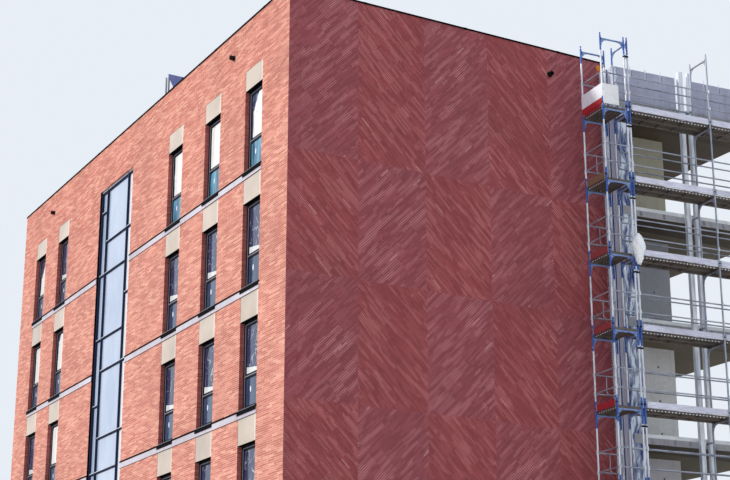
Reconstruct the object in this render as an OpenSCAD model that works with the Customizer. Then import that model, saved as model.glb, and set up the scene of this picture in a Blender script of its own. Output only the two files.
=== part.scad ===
// Apartment block with one open, unfinished corner wing and its frame scaffold.
// Millimetres, +Z up. The front faces -Y and the window front faces -X.
// The origin is on the ground, under the middle of the block's rectangular footprint.

/* [Block] */
// Width of the block along the front
block_w = 15000; // [14800:100:17000]
// Depth of the block along the window front
block_d = 20700; // [20500:100:23000]
// Floor to floor height of a storey
storey_h = 3075; // [3000:25:3200]
// Thickness of the ground slab, whose top is the ground floor
ground_slab_t = 150; // [120:10:200]
// Thickness of an upper floor slab
slab_t = 250; // [200:10:300]
// Thickness of the outer walls
wall_t = 350; // [300:10:400]
// Height of the brick parapet above the roof slab
parapet_h = 1220; // [900:10:1400]
// Length of the closed brick gable, from the left corner to the open wing
gable_w = 9690; // [9000:10:10000]
// Length of the open side of the wing, from the front to the right wall
open_side = 4600; // [4000:100:5500]

/* [Coping] */
// Height of the coping
coping_h = 40; // [30:5:90]
// Overhang of the coping on each side of the wall
coping_over = 25; // [15:5:40]

/* [Windows] */
// Width of a window opening
window_w = 1000; // [800:10:1100]
// Height of a window opening
window_h = 2225; // [2100:25:2300]
// Height of a window's foot above its floor
window_foot = 110; // [100:10:160]
// Middle of the first window, measured from the near corner
near_first = 1970; // [1800:10:2200]
// Distance between neighbouring window middles
window_pitch = 2540; // [2400:10:2700]
// Middle of the outer far window, measured from the far corner
far_first = 1900; // [1600:50:2000]
// Distance between the two far windows
far_pitch = 2280; // [2200:10:2400]
// Depth of the brick reveal in front of a frame
reveal = 115; // [80:5:150]
// Depth of a window frame
frame_d = 90; // [60:5:110]
// Width of the fixed frame and the sash together, and height of the transom
frame_face = 110; // [80:5:130]
// Width of the fixed frame seen around the sash
frame_outer = 50; // [30:5:70]
// Setback of the sash behind the face of the fixed frame
sash_back = 15; // [5:5:25]
// Share of the window height below the transom
transom_share = 0.36; // [0.3:0.01:0.5]
// Thickness of a pane
pane_t = 28; // [20:2:36]
// Distance of the top brick beam's foot below the top of the roof slab
beam_drop = 175; // [150:5:250]
// Setback of a head panel behind the brick face
panel_setback = 25; // [15:5:40]

/* [Bands and sills] */
// Height of the light string band
band_h = 200; // [150:10:240]
// Projection of the string band in front of the brick
band_out = 20; // [10:5:40]
// Length of band left beside the outermost window on each side
band_end = 30; // [20:5:100]
// Height of a window sill, which covers the upper part of the band
sill_h = 110; // [40:5:130]
// Projection of a window sill in front of the brick
sill_out = 40; // [30:5:90]
// Overhang of a sill on each side of its window
sill_side = 20; // [10:5:60]

/* [Stair glazing] */
// Near edge of the stair glazing, measured from the near corner
stair_near = 10350; // [10000:50:10600]
// Width of the stair glazing
stair_w = 2760; // [2400:20:2900]
// Width of each narrow side light
side_light_w = 360; // [300:10:420]
// Width of the outer frame and of the mullions
stair_member = 100; // [60:5:120]
// Height of a stair transom
stair_transom_h = 60; // [50:5:90]
// Setback of the stair frame behind the brick face
stair_reveal = 60; // [50:5:90]
// Depth of the stair frame
stair_frame_d = 110; // [90:5:130]

/* [Wing] */
// Step of the wing in front of the gable
wing_step = 580; // [400:10:700]
// Turn of the wing's front against the gable, in degrees
wing_turn = 5; // [0:0.5:7]
// Distance of the concrete cross wall behind the slab edge
cross_wall_back = 1720; // [1500:20:1900]
// Length of the concrete cross wall
cross_wall_l = 2600; // [2200:50:3000]
// Thickness of the concrete cross wall
cross_wall_t = 200; // [160:10:250]
// Height of the block parapet on the wing's roof slab
block_parapet_h = 930; // [800:10:1000]
// Thickness of the block parapet
block_parapet_t = 140; // [120:10:200]
// Length of a block with its joint
block_l = 490; // [400:10:600]
// Height of the open joints in the top course
block_course_h = 250; // [200:10:280]
// Width of the open joints in the top course
block_gap = 50; // [30:5:70]
// Open space beside each post pair, where the block parapet stops
pair_clear = 60; // [40:5:90]

/* [Facade posts] */
// Distance from the wing's corner to the middle of the first post pair
post_first = 2175; // [2100:5:2250]
// Distance between the middles of a pair's posts
post_gap = 290; // [270:5:320]
// Width of a post
post_w = 130; // [100:5:150]
// Depth of a post
post_d = 110; // [80:5:130]
// Height of the posts above the block parapet
post_above = 170; // [100:10:300]
// Distance between the two post pairs
post_pair_pitch = 2100; // [1900:20:2300]
// Wall thickness of a post
post_wall = 6; // [4:1:10]

/* [Wing corner] */
// Thickness of the blue membrane board
board_t = 100; // [80:5:120]
// Width of the front board at the corner
corner_board_w = 370; // [300:10:450]
// Joint between the corner boards and their neighbours
board_joint = 10; // [5:1:20]
// Width of a stud beside the corner board
stud_w = 60; // [50:5:70]
// Depth of a stud
stud_d = 80; // [60:5:90]
// Thickness of a stud's sheet steel
stud_sheet = 3; // [2:1:5]

/* [Scaffold] */
// Outer diameter of the scaffold tubes
tube_d = 48; // [42:1:60]
// Width of a scaffold frame between tube middles
scaffold_w = 730; // [700:10:1000]
// Length of a bay between tube middles
bay_l = 2570; // [2400:10:2600]
// Height of the lowest deck
first_lift = 1750; // [1500:50:2000]
// Height between decks
lift_h = 2000; // [1900:50:2100]
// Clear distance between the inner tubes' middles and the slab edge
scaffold_gap = 270; // [200:10:300]
// Start of the main run, left of the wing's corner
run_left = 320; // [280:10:360]
// Distance between the main run and the end bay
end_gap = 100; // [90:5:120]
// Length of the end bay across the front
end_bay = 960; // [900:10:1000]
// Length of the tube ends above the top frames
spigot_h = 150; // [100:10:200]
// Thickness of a deck
deck_t = 70; // [50:5:80]
// Width of one deck plank
plank_w = 320; // [280:5:325]
// Height of the lower outer guard rail above a deck frame
rail_low = 530; // [450:10:600]
// Height of the upper outer guard rail above a deck frame
rail_high = 1020; // [950:10:1100]
// Extra height of the inner guard rails
inner_rail_up = 140; // [100:10:180]
// Diameter of the guard rails
rail_d = 38; // [30:1:48]
// Height of a toe board
toe_h = 160; // [120:10:180]
// Thickness of a toe board
toe_t = 30; // [20:5:40]
// Leg length of a corner bracket
gusset_l = 170; // [120:10:200]
// Thickness of a corner bracket
gusset_t = 12; // [8:1:16]
// Width of a timber sole board
sole_w = 210; // [200:10:220]
// Thickness of a timber sole board
sole_t = 45; // [38:1:50]
// Gap between a deck plank's end and the middle of its frame
plank_end = 5; // [3:1:10]
// Height of the couplers between the main run and the end bay
coupler_h = 80; // [60:5:100]
// Distance of the couplers below a deck frame
coupler_drop = 450; // [300:10:1100]

/* [Boards and bundle] */
// Height of the top lift's boards above their deck frame
board_up = 120; // [80:10:160]
// Thickness of the top lift's boards
end_board_t = 12; // [8:1:18]
// Height of the top lift's boards
end_board_h = 560; // [500:10:600]
// Length of the short board on the front
front_board_l = 480; // [400:10:600]
// Diameter of the wrapped bundle
bundle_d = 400; // [300:10:440]
// Height of the wrapped bundle
bundle_h = 870; // [700:10:950]
// Distance of the bundle's foot below its deck frame
bundle_drop = 280; // [200:10:350]
// Waist of the bundle as a share of its diameter
bundle_waist = 0.96; // [0.8:0.02:1]

/* [Roof hood] */
// Distance of the hood from the window front's brick face
hood_back = 430; // [400:10:600]
// Foot of the hood's lid, measured from the near corner
hood_near = 7860; // [7600:10:8000]
// Length of the hood along the window front
hood_l = 1090; // [1000:10:1200]
// Width of the hood across the roof
hood_w = 700; // [500:10:900]
// Height of the low end of the lid above the coping
hood_low = 560; // [400:10:700]
// Height of the high end of the lid above the coping
hood_high = 1090; // [900:10:1200]
// Thickness of the hood's sheets
hood_t = 30; // [20:5:40]
// Width of a hood post
hood_post = 50; // [40:5:60]
// Distance of the free post behind the hood
hood_free = 150; // [100:10:300]
// Place of the cheeks' lower corner as a share of the hood's length
hood_throat = 0.6; // [0.4:0.05:0.8]

/* [Overflow spouts] */
// Outer diameter of an overflow spout
spout_d = 125; // [110:5:150]
// Inner diameter of an overflow spout
spout_bore = 100; // [70:5:105]
// Projection of an overflow spout
spout_out = 120; // [80:10:320]
// Height of the spouts above the roof slab
spout_up = 520; // [400:10:700]
// Distance of the gable's spout from the open wing
spout_side = 1830; // [1600:10:2000]

/* [Hidden] */
storeys = 6;
lifts = 9;

top_storey = storeys - 1;
function floor_z(k) = ground_slab_t + k * storey_h;
function foot_z(k) = floor_z(k) + window_foot;
function head_z(k) = foot_z(k) + window_h;
roof_z = floor_z(storeys);
wall_top = roof_z + parapet_h;
coping_top = wall_top + coping_h;
base_top = foot_z(0) - sill_h;
beam_z = roof_z - beam_drop;

// Columns of windows, as distances of their middles from each wall's own left end
far_columns = [far_first, far_first + far_pitch];
near_columns = [for (i = [2, 1, 0]) block_d - near_first - i * window_pitch];
left_columns = concat(far_columns, near_columns);
function row_of_four(middle) = [for (i = [-1.5 : 1.5]) middle + i * window_pitch];
back_columns = row_of_four(block_w / 2);
right_columns = row_of_four((open_side + block_d) / 2);
stair_left = block_d - stair_near - stair_w;
far_spout = (far_columns[0] + far_columns[1]) / 2;
near_spout = near_columns[2] - window_pitch / 2;
gable_spout = gable_w - spout_side;
window_light = window_w - 2 * frame_face;
transom_z0 = window_h * transom_share;

// Stair lights: narrow, wide, narrow. Each transom crosses the lights that its entry lists.
light_w = [side_light_w, stair_w - 2 * side_light_w - 4 * stair_member, side_light_w];
light_x = [
    stair_member,
    2 * stair_member + light_w[0],
    3 * stair_member + light_w[0] + light_w[1]
];
transom_spans = [[0, 0], [1, 2], [0, 1], [2, 2], [0, 1], [1, 2]];
transom_step = storey_h / 3;
transom_top = foot_z(top_storey) + 2 * transom_step;
transom_count = floor((transom_top - base_top) / transom_step);
function transom_z(n) = transom_top - n * transom_step;
function crosses(light, n) = transom_spans[n % 6][0] <= light && light <= transom_spans[n % 6][1];
function stops(light) = [for (n = [0 : transom_count - 1]) if (crosses(light, n)) transom_z(n)];

wing_x = gable_w;
slab_end = block_w - wall_t;
function front_y(x) = -wing_step - (x - wing_x) * tan(wing_turn);
wing_l = (slab_end - wing_x) / cos(wing_turn);
parapet_top = roof_z + block_parapet_h;
pair_middles = [post_first, post_first + post_pair_pitch];
pair_half = post_gap / 2 + post_w / 2 + pair_clear;
open_joints = [
    for (n = [1, 2, 3]) post_first - pair_half - n * block_l,
    for (n = [1, 2]) post_first + pair_half + n * block_l - block_gap
];

outer_b = -scaffold_gap - scaffold_w;
inner_b = -scaffold_gap;
run_a = [for (i = [0 : 2]) i * bay_l - run_left];
end_right = -run_left - end_gap;
end_left = end_right - scaffold_w;
end_far_b = outer_b + end_bay;
standards = concat(
    [for (a = run_a, b = [outer_b, inner_b]) [a, b]],
    [for (a = [end_left, end_right], b = [outer_b, end_far_b]) [a, b]]
);
function lift_z(k) = first_lift + k * lift_h;
scaffold_top = lift_z(lifts);
clear_frame = scaffold_w - tube_d;
clear_bay = bay_l - tube_d;
clear_end = end_bay - tube_d;
plank_gap = (clear_frame - 2 * plank_w) / 3;
plank_places = [plank_gap, 2 * plank_gap + plank_w];
bundle_lift = 6;
bundle_sides = 24;
bundle_r = bundle_d / 2 * cos(180 / bundle_sides);
small = 1;

module at_corner() { translate([-block_w / 2, -block_d / 2, 0]) children(); }
module on_left() { at_corner() translate([0, block_d, 0]) rotate([0, 0, -90]) children(); }
module on_back() { at_corner() translate([block_w, block_d, 0]) rotate([0, 0, 180]) children(); }
module on_right() { at_corner() translate([block_w, 0, 0]) rotate([0, 0, 90]) children(); }
module on_wing() {
    at_corner() translate([wing_x, -wing_step, 0]) rotate([0, 0, -wing_turn]) children();
}

// Upright tube with flats towards its neighbours
module tube_z(h, d = tube_d) { rotate([0, 0, 22.5]) cylinder(h = h, d = d / cos(22.5), $fn = 8); }
module tube_x(l, d = tube_d) { rotate([0, 90, 0]) tube_z(l, d); }
module tube_y(l, d = tube_d) { rotate([-90, 0, 0]) tube_z(l, d); }

// Floors and roof
module full_slab(top, t) {
    at_corner() translate([wall_t, wall_t, top - t])
        cube([block_w - 2 * wall_t, block_d - 2 * wall_t, t]);
}
module ground_slab() { color("lightgray") full_slab(ground_slab_t, ground_slab_t); }
module floor_slab(k) { color("silver") full_slab(floor_z(k), slab_t); }
module roof_slab() { color("dimgray") full_slab(roof_z, slab_t); }
module wing_slabs() {
    color("silver") at_corner() {
        wing_slab(floor_z(0), ground_slab_t);
        for (k = [1 : storeys]) wing_slab(floor_z(k), slab_t);
    }
}
module wing_slab(top, t) {
    outline = [
        [wing_x, front_y(wing_x)], [slab_end, front_y(slab_end)], [slab_end, wall_t],
        [wing_x, wall_t]
    ];
    translate([0, 0, top - t]) linear_extrude(t) polygon(outline);
}

// Brick walls: full-height piers between the window columns, a base and a top beam
module pier(x0, x1) { translate([x0, 0, base_top]) cube([x1 - x0, wall_t, beam_z - base_top]); }
module wall_piers(columns, x0, x1) {
    edges = concat(
        [x0],
        [for (c = columns) each [c - window_w / 2, c + window_w / 2]],
        [x1]
    );
    for (i = [0 : 2 : len(edges) - 1]) pier(edges[i], edges[i + 1]);
}
module wall_beams(x0, x1) {
    translate([x0, 0, 0]) cube([x1 - x0, wall_t, base_top]);
    translate([x0, 0, beam_z]) cube([x1 - x0, wall_t, wall_top - beam_z]);
}
module left_wall_piers() {
    color("salmon") on_left() {
        wall_piers(far_columns, 0, stair_left);
        wall_piers(near_columns, stair_left + stair_w, block_d);
    }
}
module left_wall_beams() { color("salmon") on_left() wall_beams(0, block_d); }
module gable_wall() {
    color("indianred") at_corner() translate([wall_t, 0, 0])
        cube([gable_w - wall_t, wall_t, wall_top]);
}
module back_wall_piers() { color("salmon") on_back() wall_piers(back_columns, 0, block_w - wall_t); }
module back_wall_beams() { color("salmon") on_back() wall_beams(0, block_w - wall_t); }
module right_wall_piers() {
    color("salmon") on_right() wall_piers(right_columns, open_side, block_d - wall_t);
}
module right_wall_beams() { color("salmon") on_right() wall_beams(open_side, block_d - wall_t); }

// Infill behind the panels, between one window's head and the next one's foot
module wall_lintels(columns) {
    for (c = columns, k = [0 : storeys]) {
        z0 = max(base_top, head_z(k - 1));
        z1 = min(beam_z, foot_z(k));
        translate([c - window_w / 2, reveal, z0]) cube([window_w, wall_t - reveal, z1 - z0]);
    }
}
module lintels() {
    color("gray") {
        on_left() wall_lintels(left_columns);
        on_back() wall_lintels(back_columns);
        on_right() wall_lintels(right_columns);
    }
}
module coping_run(x0, x1) {
    translate([x0, -coping_over, wall_top]) cube([x1 - x0, wall_t + 2 * coping_over, coping_h]);
}
module coping() {
    color("black") {
        on_left() coping_run(-coping_over, block_d + coping_over);
        at_corner() coping_run(0, gable_w);
        on_back() coping_run(-coping_over, block_w);
        on_right() coping_run(open_side, block_d);
    }
}

// Light bands up to the feet of the upper windows: a thin strip over the brick, thick in the
// windows, with a notch for each sill
module band_run(columns) {
    x0 = columns[0] - window_w / 2 - band_end;
    x1 = columns[len(columns) - 1] + window_w / 2 + band_end;
    band_stretch(columns, x0, x1);
}
module band_stretch(columns, x0, x1) {
    for (k = [1 : top_storey]) translate([0, 0, foot_z(k) - band_h]) difference() {
        union() {
            translate([x0, -band_out, 0]) cube([x1 - x0, band_out, band_h]);
            for (c = columns) translate([c - window_w / 2, -small, 0])
                cube([window_w, reveal + small, band_h]);
        }
        for (c = columns)
            translate([c - window_w / 2 - sill_side, -band_out - small, band_h - sill_h])
                cube([window_w + 2 * sill_side, band_out + reveal + 2 * small, sill_h + small]);
    }
}
module string_bands() {
    color("gainsboro") {
        on_left() {
            band_stretch(far_columns, far_columns[0] - window_w / 2 - band_end, stair_left);
            band_stretch(
                near_columns, stair_left + stair_w,
                near_columns[2] + window_w / 2 + band_end
            );
        }
        on_back() band_run(back_columns);
        on_right() band_run(right_columns);
    }
}
module wall_sills(columns) {
    for (c = columns, k = [0 : top_storey]) translate([c, 0, foot_z(k) - sill_h]) {
        translate([-window_w / 2 - sill_side, -sill_out, 0])
            cube([window_w + 2 * sill_side, sill_out, sill_h]);
        translate([-window_w / 2, -small, 0]) cube([window_w, reveal + small, sill_h]);
    }
}
module window_sills() {
    color("black") {
        on_left() wall_sills(left_columns);
        on_back() wall_sills(back_columns);
        on_right() wall_sills(right_columns);
    }
}
module wall_panels(columns) {
    panel_h = storey_h - window_h - band_h;
    for (c = columns, k = [0 : top_storey])
        translate([c - window_w / 2, panel_setback, head_z(k)])
            cube([
                window_w, reveal - panel_setback, k == top_storey ? beam_z - head_z(k) : panel_h
            ]);
}
module head_panels() {
    color("tan") {
        on_left() wall_panels(left_columns);
        on_back() wall_panels(back_columns);
        on_right() wall_panels(right_columns);
    }
}

// Windows: a fixed frame, a sash set back in it with a transom, and a pane above and below
module frame() {
    translate([-window_w / 2, reveal, 0]) difference() {
        cube([window_w, frame_d, window_h]);
        translate([frame_face, -small, 0]) lights(frame_d + 2 * small);
        translate([frame_outer, -small, frame_outer])
            cube([window_w - 2 * frame_outer, sash_back + small, window_h - 2 * frame_outer]);
    }
}
module panes() {
    translate([-window_light / 2, reveal + (frame_d - pane_t) / 2, 0]) lights(pane_t);
}
module lights(t) {
    translate([0, 0, frame_face]) cube([window_light, t, transom_z0 - frame_face]);
    translate([0, 0, transom_z0 + frame_face])
        cube([window_light, t, window_h - transom_z0 - 2 * frame_face]);
}
module in_windows(columns) {
    for (c = columns, k = [0 : top_storey]) translate([c, 0, foot_z(k)]) children();
}
module left_window_frames() { color("darkslategray") on_left() in_windows(left_columns) frame(); }
module left_window_glass() { color("lightblue", 0.5) on_left() in_windows(left_columns) panes(); }
module rear_window_frames() {
    color("darkslategray") {
        on_back() in_windows(back_columns) frame();
        on_right() in_windows(right_columns) frame();
    }
}
module rear_window_glass() {
    color("lightblue", 0.5) {
        on_back() in_windows(back_columns) panes();
        on_right() in_windows(right_columns) panes();
    }
}

// Stair glazing from the base to the top beam
module at_stair() { on_left() translate([stair_left, stair_reveal, 0]) children(); }
module stair_glazing_frame() {
    glazing_h = beam_z - base_top;
    color("darkslategray") at_stair() difference() {
        translate([0, 0, base_top]) cube([stair_w, stair_frame_d, glazing_h]);
        for (light = [0 : 2]) each_pane(light, -small, stair_frame_d + 2 * small);
    }
}
module stair_glazing_glass() {
    color("lightsteelblue", 0.5) at_stair()
        for (light = [0 : 2]) each_pane(light, (stair_frame_d - pane_t) / 2, pane_t);
}
module each_pane(light, y, t) {
    half = stair_transom_h / 2;
    tops = concat([beam_z - stair_member + half], stops(light));
    feet = concat(stops(light), [base_top + stair_member - half]);
    for (i = [0 : len(tops) - 1]) translate([light_x[light], y, feet[i] + half])
        cube([light_w[light], t, tops[i] - feet[i] - 2 * half]);
}

// Overflow spouts through the parapet, two on the window front and one on the gable
module spout() {
    translate([0, 0, roof_z + spout_up]) rotate([90, 0, 0]) difference() {
        cylinder(h = spout_out, d = spout_d, $fn = 48);
        translate([0, 0, -small]) cylinder(h = spout_out + 2 * small, d = spout_bore, $fn = 48);
    }
}
module overflow_spouts() {
    color("black") {
        on_left() for (x = [near_spout, far_spout]) translate([x, 0, 0]) spout();
        at_corner() translate([gable_spout, 0, 0]) spout();
    }
}

// Open wing: cross walls between the slabs, block parapet, posts and corner boards
module concrete_walls() {
    color("lightgray") on_wing() for (k = [0 : top_storey])
        translate([0, cross_wall_back, floor_z(k)])
            cube([cross_wall_l, cross_wall_t, storey_h - slab_t]);
}
module block_parapet() {
    side_y = front_y(slab_end) + block_parapet_t;
    depth = block_parapet_t + 2 * small;
    color("darkgray") difference() {
        union() {
            on_wing() translate([0, 0, roof_z]) cube([wing_l, block_parapet_t, block_parapet_h]);
            at_corner() translate([slab_end - block_parapet_t, side_y, roof_z])
                cube([block_parapet_t, open_side - side_y, block_parapet_h]);
        }
        on_wing() {
            for (a = open_joints) translate([a, -small, parapet_top - block_course_h])
                cube([block_gap, depth, block_course_h + small]);
            for (a = pair_middles) translate([a - pair_half, -small, roof_z - small])
                cube([2 * pair_half, depth, block_parapet_h + 2 * small]);
        }
    }
}
module steel_posts() {
    top = parapet_top + post_above;
    color("silver") on_wing()
        for (middle = pair_middles, side = [-1, 1])
            translate([middle + side * post_gap / 2, -post_d, 0])
                difference() {
                    translate([-post_w / 2, 0, 0]) cube([post_w, post_d, top]);
                    translate([-post_w / 2 + post_wall, post_wall, -small])
                        cube([post_w - 2 * post_wall, post_d - 2 * post_wall, top + 2 * small]);
                }
}
module membrane_boards() {
    color("steelblue") at_corner()
        translate([wing_x - board_t, -wing_step, 0]) cube([board_t, wing_step, parapet_top]);
    color("steelblue") on_wing() for (k = [0 : top_storey])
        translate([board_joint, 0, floor_z(k)]) cube([corner_board_w, board_t, storey_h - slab_t]);
}
module corner_studs() {
    inner_w = stud_w - 2 * stud_sheet;
    color("gainsboro") at_corner() for (y = [-stud_w, -wing_step / 2, -wing_step])
        translate([wing_x - board_t - stud_d, y, 0]) difference() {
            cube([stud_d, stud_w, parapet_top]);
            translate([-small, stud_sheet, -small])
                cube([stud_d - stud_sheet + small, inner_w, parapet_top + 2 * small]);
        }
}

// Scaffold: tubes on sole boards, deck frames, brackets, decks, rails and toe boards
module sole_boards() {
    margin = sole_w / 2;
    run_l = run_a[2] + margin;
    color("burlywood") on_wing() {
        translate([end_left - margin, outer_b - margin, 0])
            cube([run_l - end_left + margin, sole_w, sole_t]);
        translate([run_a[0] - margin, inner_b - margin, 0])
            cube([run_l - run_a[0] + margin, sole_w, sole_t]);
        translate([end_left - margin, end_far_b - margin, 0])
            cube([end_right - end_left + 2 * margin, sole_w, sole_t]);
    }
}
module scaffold_standards() {
    color("silver") on_wing() for (p = standards)
        translate([p[0], p[1], sole_t]) tube_z(scaffold_top + spigot_h - sole_t);
}
module scaffold_transoms() {
    color("royalblue") on_wing() for (k = [0 : lifts]) translate([0, 0, lift_z(k) - tube_d / 2]) {
        for (a = run_a) translate([a, outer_b + tube_d / 2, 0]) tube_y(clear_frame);
        for (b = [outer_b, end_far_b]) translate([end_left + tube_d / 2, b, 0]) tube_x(clear_frame);
    }
}
module bracket() {
    translate([0, gusset_t / 2, 0]) rotate([90, 0, 0]) linear_extrude(gusset_t)
        polygon([[0, 0], [gusset_l, 0], [0, -gusset_l]]);
}
module bracket_pair() {
    translate([tube_d / 2, 0, 0]) bracket();
    translate([scaffold_w - tube_d / 2, 0, 0]) mirror([1, 0, 0]) bracket();
}
module scaffold_brackets() {
    color("royalblue") on_wing() for (k = [0 : lifts]) translate([0, 0, lift_z(k) - tube_d]) {
        for (a = run_a) translate([a, outer_b, 0]) rotate([0, 0, 90]) bracket_pair();
        for (b = [outer_b, end_far_b]) translate([end_left, b, 0]) bracket_pair();
    }
}
module scaffold_decks() {
    color("slategray") on_wing() for (k = [0 : lifts - 1], place = plank_places)
        translate([0, 0, lift_z(k)]) {
            for (bay = [0, 1])
                translate([run_a[bay] + plank_end, outer_b + tube_d / 2 + place, 0])
                    cube([bay_l - 2 * plank_end, plank_w, deck_t]);
            translate([end_left + tube_d / 2 + place, outer_b, 0])
                cube([plank_w, end_bay, deck_t]);
        }
}
module rails_along(a, b, l, ups) {
    for (up = ups) translate([a + tube_d / 2, b, up]) tube_x(l, rail_d);
}
module scaffold_guard_rails() {
    outer = [rail_low, rail_high];
    inner = [rail_low + inner_rail_up, rail_high + inner_rail_up];
    color("lightgray") on_wing() for (k = [0 : lifts - 1]) translate([0, 0, lift_z(k)]) {
        for (bay = [0, 1]) {
            rails_along(run_a[bay], outer_b, clear_bay, outer);
            rails_along(run_a[bay], inner_b, clear_bay, inner);
        }
        rails_along(end_left, outer_b, clear_frame, outer);
        rails_along(end_left, end_far_b, clear_frame, outer);
        for (up = outer) translate([end_left, outer_b + tube_d / 2, up]) tube_y(clear_end, rail_d);
    }
}
module scaffold_toe_boards() {
    color("sienna") on_wing() for (k = [0 : lifts - 1]) translate([0, 0, lift_z(k) + deck_t]) {
        for (bay = [0, 1]) translate([run_a[bay] + tube_d / 2, outer_b - toe_t / 2, 0])
            cube([clear_bay, toe_t, toe_h]);
        translate([end_left - toe_t / 2, outer_b + tube_d / 2, 0]) cube([toe_t, clear_end, toe_h]);
    }
}
module scaffold_ties() {
    color("silver") on_wing() {
        for (i = [1, 2], k = [1 : storeys])
            translate([run_a[i] - tube_d, inner_b - tube_d / 2, floor_z(k) - slab_t / 2])
                tube_y(scaffold_gap + tube_d / 2);
        for (k = [0 : lifts])
            translate([end_right + tube_d / 2, outer_b - tube_d / 2, lift_z(k) - coupler_drop])
                cube([end_gap - tube_d, tube_d, coupler_h]);
    }
}

// Boards at the top lift and a wrapped bundle hung on the corner tubes
module end_boards() {
    color("white") on_wing() translate([0, 0, lift_z(lifts - 1) + board_up]) {
        translate([end_left - tube_d / 2 - end_board_t, outer_b, 0])
            cube([end_board_t, end_bay, end_board_h]);
        translate([end_left, outer_b - tube_d / 2 - end_board_t, 0])
            cube([front_board_l, end_board_t, end_board_h]);
    }
}
module wrapped_bundle() {
    bundle_z = lift_z(bundle_lift) - bundle_drop;
    waist = bundle_d * bundle_waist;
    color("whitesmoke") on_wing()
        translate([end_right, outer_b - tube_d / 2 - bundle_r, bundle_z]) hull() {
            translate([0, 0, bundle_h - bundle_d / 2]) sphere(d = bundle_d, $fn = bundle_sides);
            translate([0, 0, bundle_h / 2]) sphere(d = waist, $fn = bundle_sides);
            cylinder(h = small, d = bundle_d / 3, $fn = bundle_sides);
        }
}

// Roof hood behind the parapet: a slanted lid on two cheeks, two posts and one free post
module cheek() {
    low = coping_top + hood_low;
    high = coping_top + hood_high;
    rotate([90, 0, 90]) linear_extrude(hood_t) polygon([
        [0, low - hood_t], [0, low], [hood_l, high], [hood_l, high - hood_t],
        [hood_l * hood_throat, low - hood_t]
    ]);
}
module hood_lid() {
    low = coping_top + hood_low;
    high = coping_top + hood_high;
    rotate([90, 0, 90]) linear_extrude(hood_w)
        polygon([[0, low], [hood_l, high], [hood_l, high + hood_t], [0, low + hood_t]]);
}
module roof_hood() {
    post_h = coping_top + hood_high - hood_t - roof_z;
    last_x = hood_w - hood_post;
    color("midnightblue") at_corner() translate([hood_back, hood_near, 0]) {
        cheek();
        translate([hood_w - hood_t, 0, 0]) cheek();
        hood_lid();
        for (p = [[0, -hood_post], [last_x, -hood_post], [0, hood_free]])
            translate([p[0], hood_l + p[1], roof_z]) cube([hood_post, hood_post, post_h]);
    }
}

ground_slab();
floor_slab(1);  // floor_slab_1
floor_slab(2);  // floor_slab_2
floor_slab(3);  // floor_slab_3
floor_slab(4);  // floor_slab_4
floor_slab(5);  // floor_slab_5
roof_slab();
wing_slabs();
left_wall_piers();
left_wall_beams();
gable_wall();
back_wall_piers();
back_wall_beams();
right_wall_piers();
right_wall_beams();
lintels();
coping();
string_bands();
window_sills();
head_panels();
left_window_frames();
rear_window_frames();
left_window_glass();
rear_window_glass();
stair_glazing_frame();
stair_glazing_glass();
overflow_spouts();
concrete_walls();
block_parapet();
steel_posts();
corner_studs();
membrane_boards();
sole_boards();
scaffold_standards();
scaffold_transoms();
scaffold_brackets();
scaffold_decks();
scaffold_guard_rails();
scaffold_toe_boards();
scaffold_ties();
end_boards();
wrapped_bundle();
roof_hood();
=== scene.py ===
"""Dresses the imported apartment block: brick leaves, windows, open wing, scaffold, light and camera.

Everything is in metres in the part's frame: +Z up, the gable and the open wing face -Y and the
window front faces -X. Pieces are modelled in the frame of the side that carries them: x along
the wall, y inwards, z up.
"""

import logging
import math
import random
from collections.abc import Callable, Iterable, Sequence
from dataclasses import dataclass
from enum import Enum
from functools import cache
from typing import ClassVar

import bmesh
import bpy
from mathutils import Matrix, Vector

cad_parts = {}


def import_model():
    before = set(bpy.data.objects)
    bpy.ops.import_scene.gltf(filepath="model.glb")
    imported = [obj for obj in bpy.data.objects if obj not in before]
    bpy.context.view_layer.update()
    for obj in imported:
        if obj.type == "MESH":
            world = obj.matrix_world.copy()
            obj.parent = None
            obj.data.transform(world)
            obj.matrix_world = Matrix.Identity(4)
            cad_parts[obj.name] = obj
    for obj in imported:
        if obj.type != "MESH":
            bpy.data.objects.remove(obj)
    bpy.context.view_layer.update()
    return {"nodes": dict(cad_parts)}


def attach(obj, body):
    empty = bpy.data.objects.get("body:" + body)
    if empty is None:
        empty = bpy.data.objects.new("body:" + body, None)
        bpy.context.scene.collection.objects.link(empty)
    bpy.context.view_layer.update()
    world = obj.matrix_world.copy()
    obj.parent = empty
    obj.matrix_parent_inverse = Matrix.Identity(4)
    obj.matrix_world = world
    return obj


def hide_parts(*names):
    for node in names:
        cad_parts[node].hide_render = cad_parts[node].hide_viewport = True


LOG = logging.getLogger("apartment_block")

Place = tuple[float, float, float]
Span = tuple[float, float]
Colour = tuple[float, float, float, float]
Node = bpy.types.Node
Socket = bpy.types.NodeSocket
Piece = bpy.types.Object


def tint(red: int, green: int, blue: int) -> Colour:
    """Turns a screen colour into the linear colour that a socket takes.

    Args:
        red: Red from 0 to 255.
        green: Green from 0 to 255.
        blue: Blue from 0 to 255.

    Returns:
        The linear colour with full opacity.
    """
    parts = [c / 255 for c in (red, green, blue)]
    linear = [c / 12.92 if c <= 0.04045 else ((c + 0.055) / 1.055) ** 2.4 for c in parts]
    return (linear[0], linear[1], linear[2], 1.0)


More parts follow.
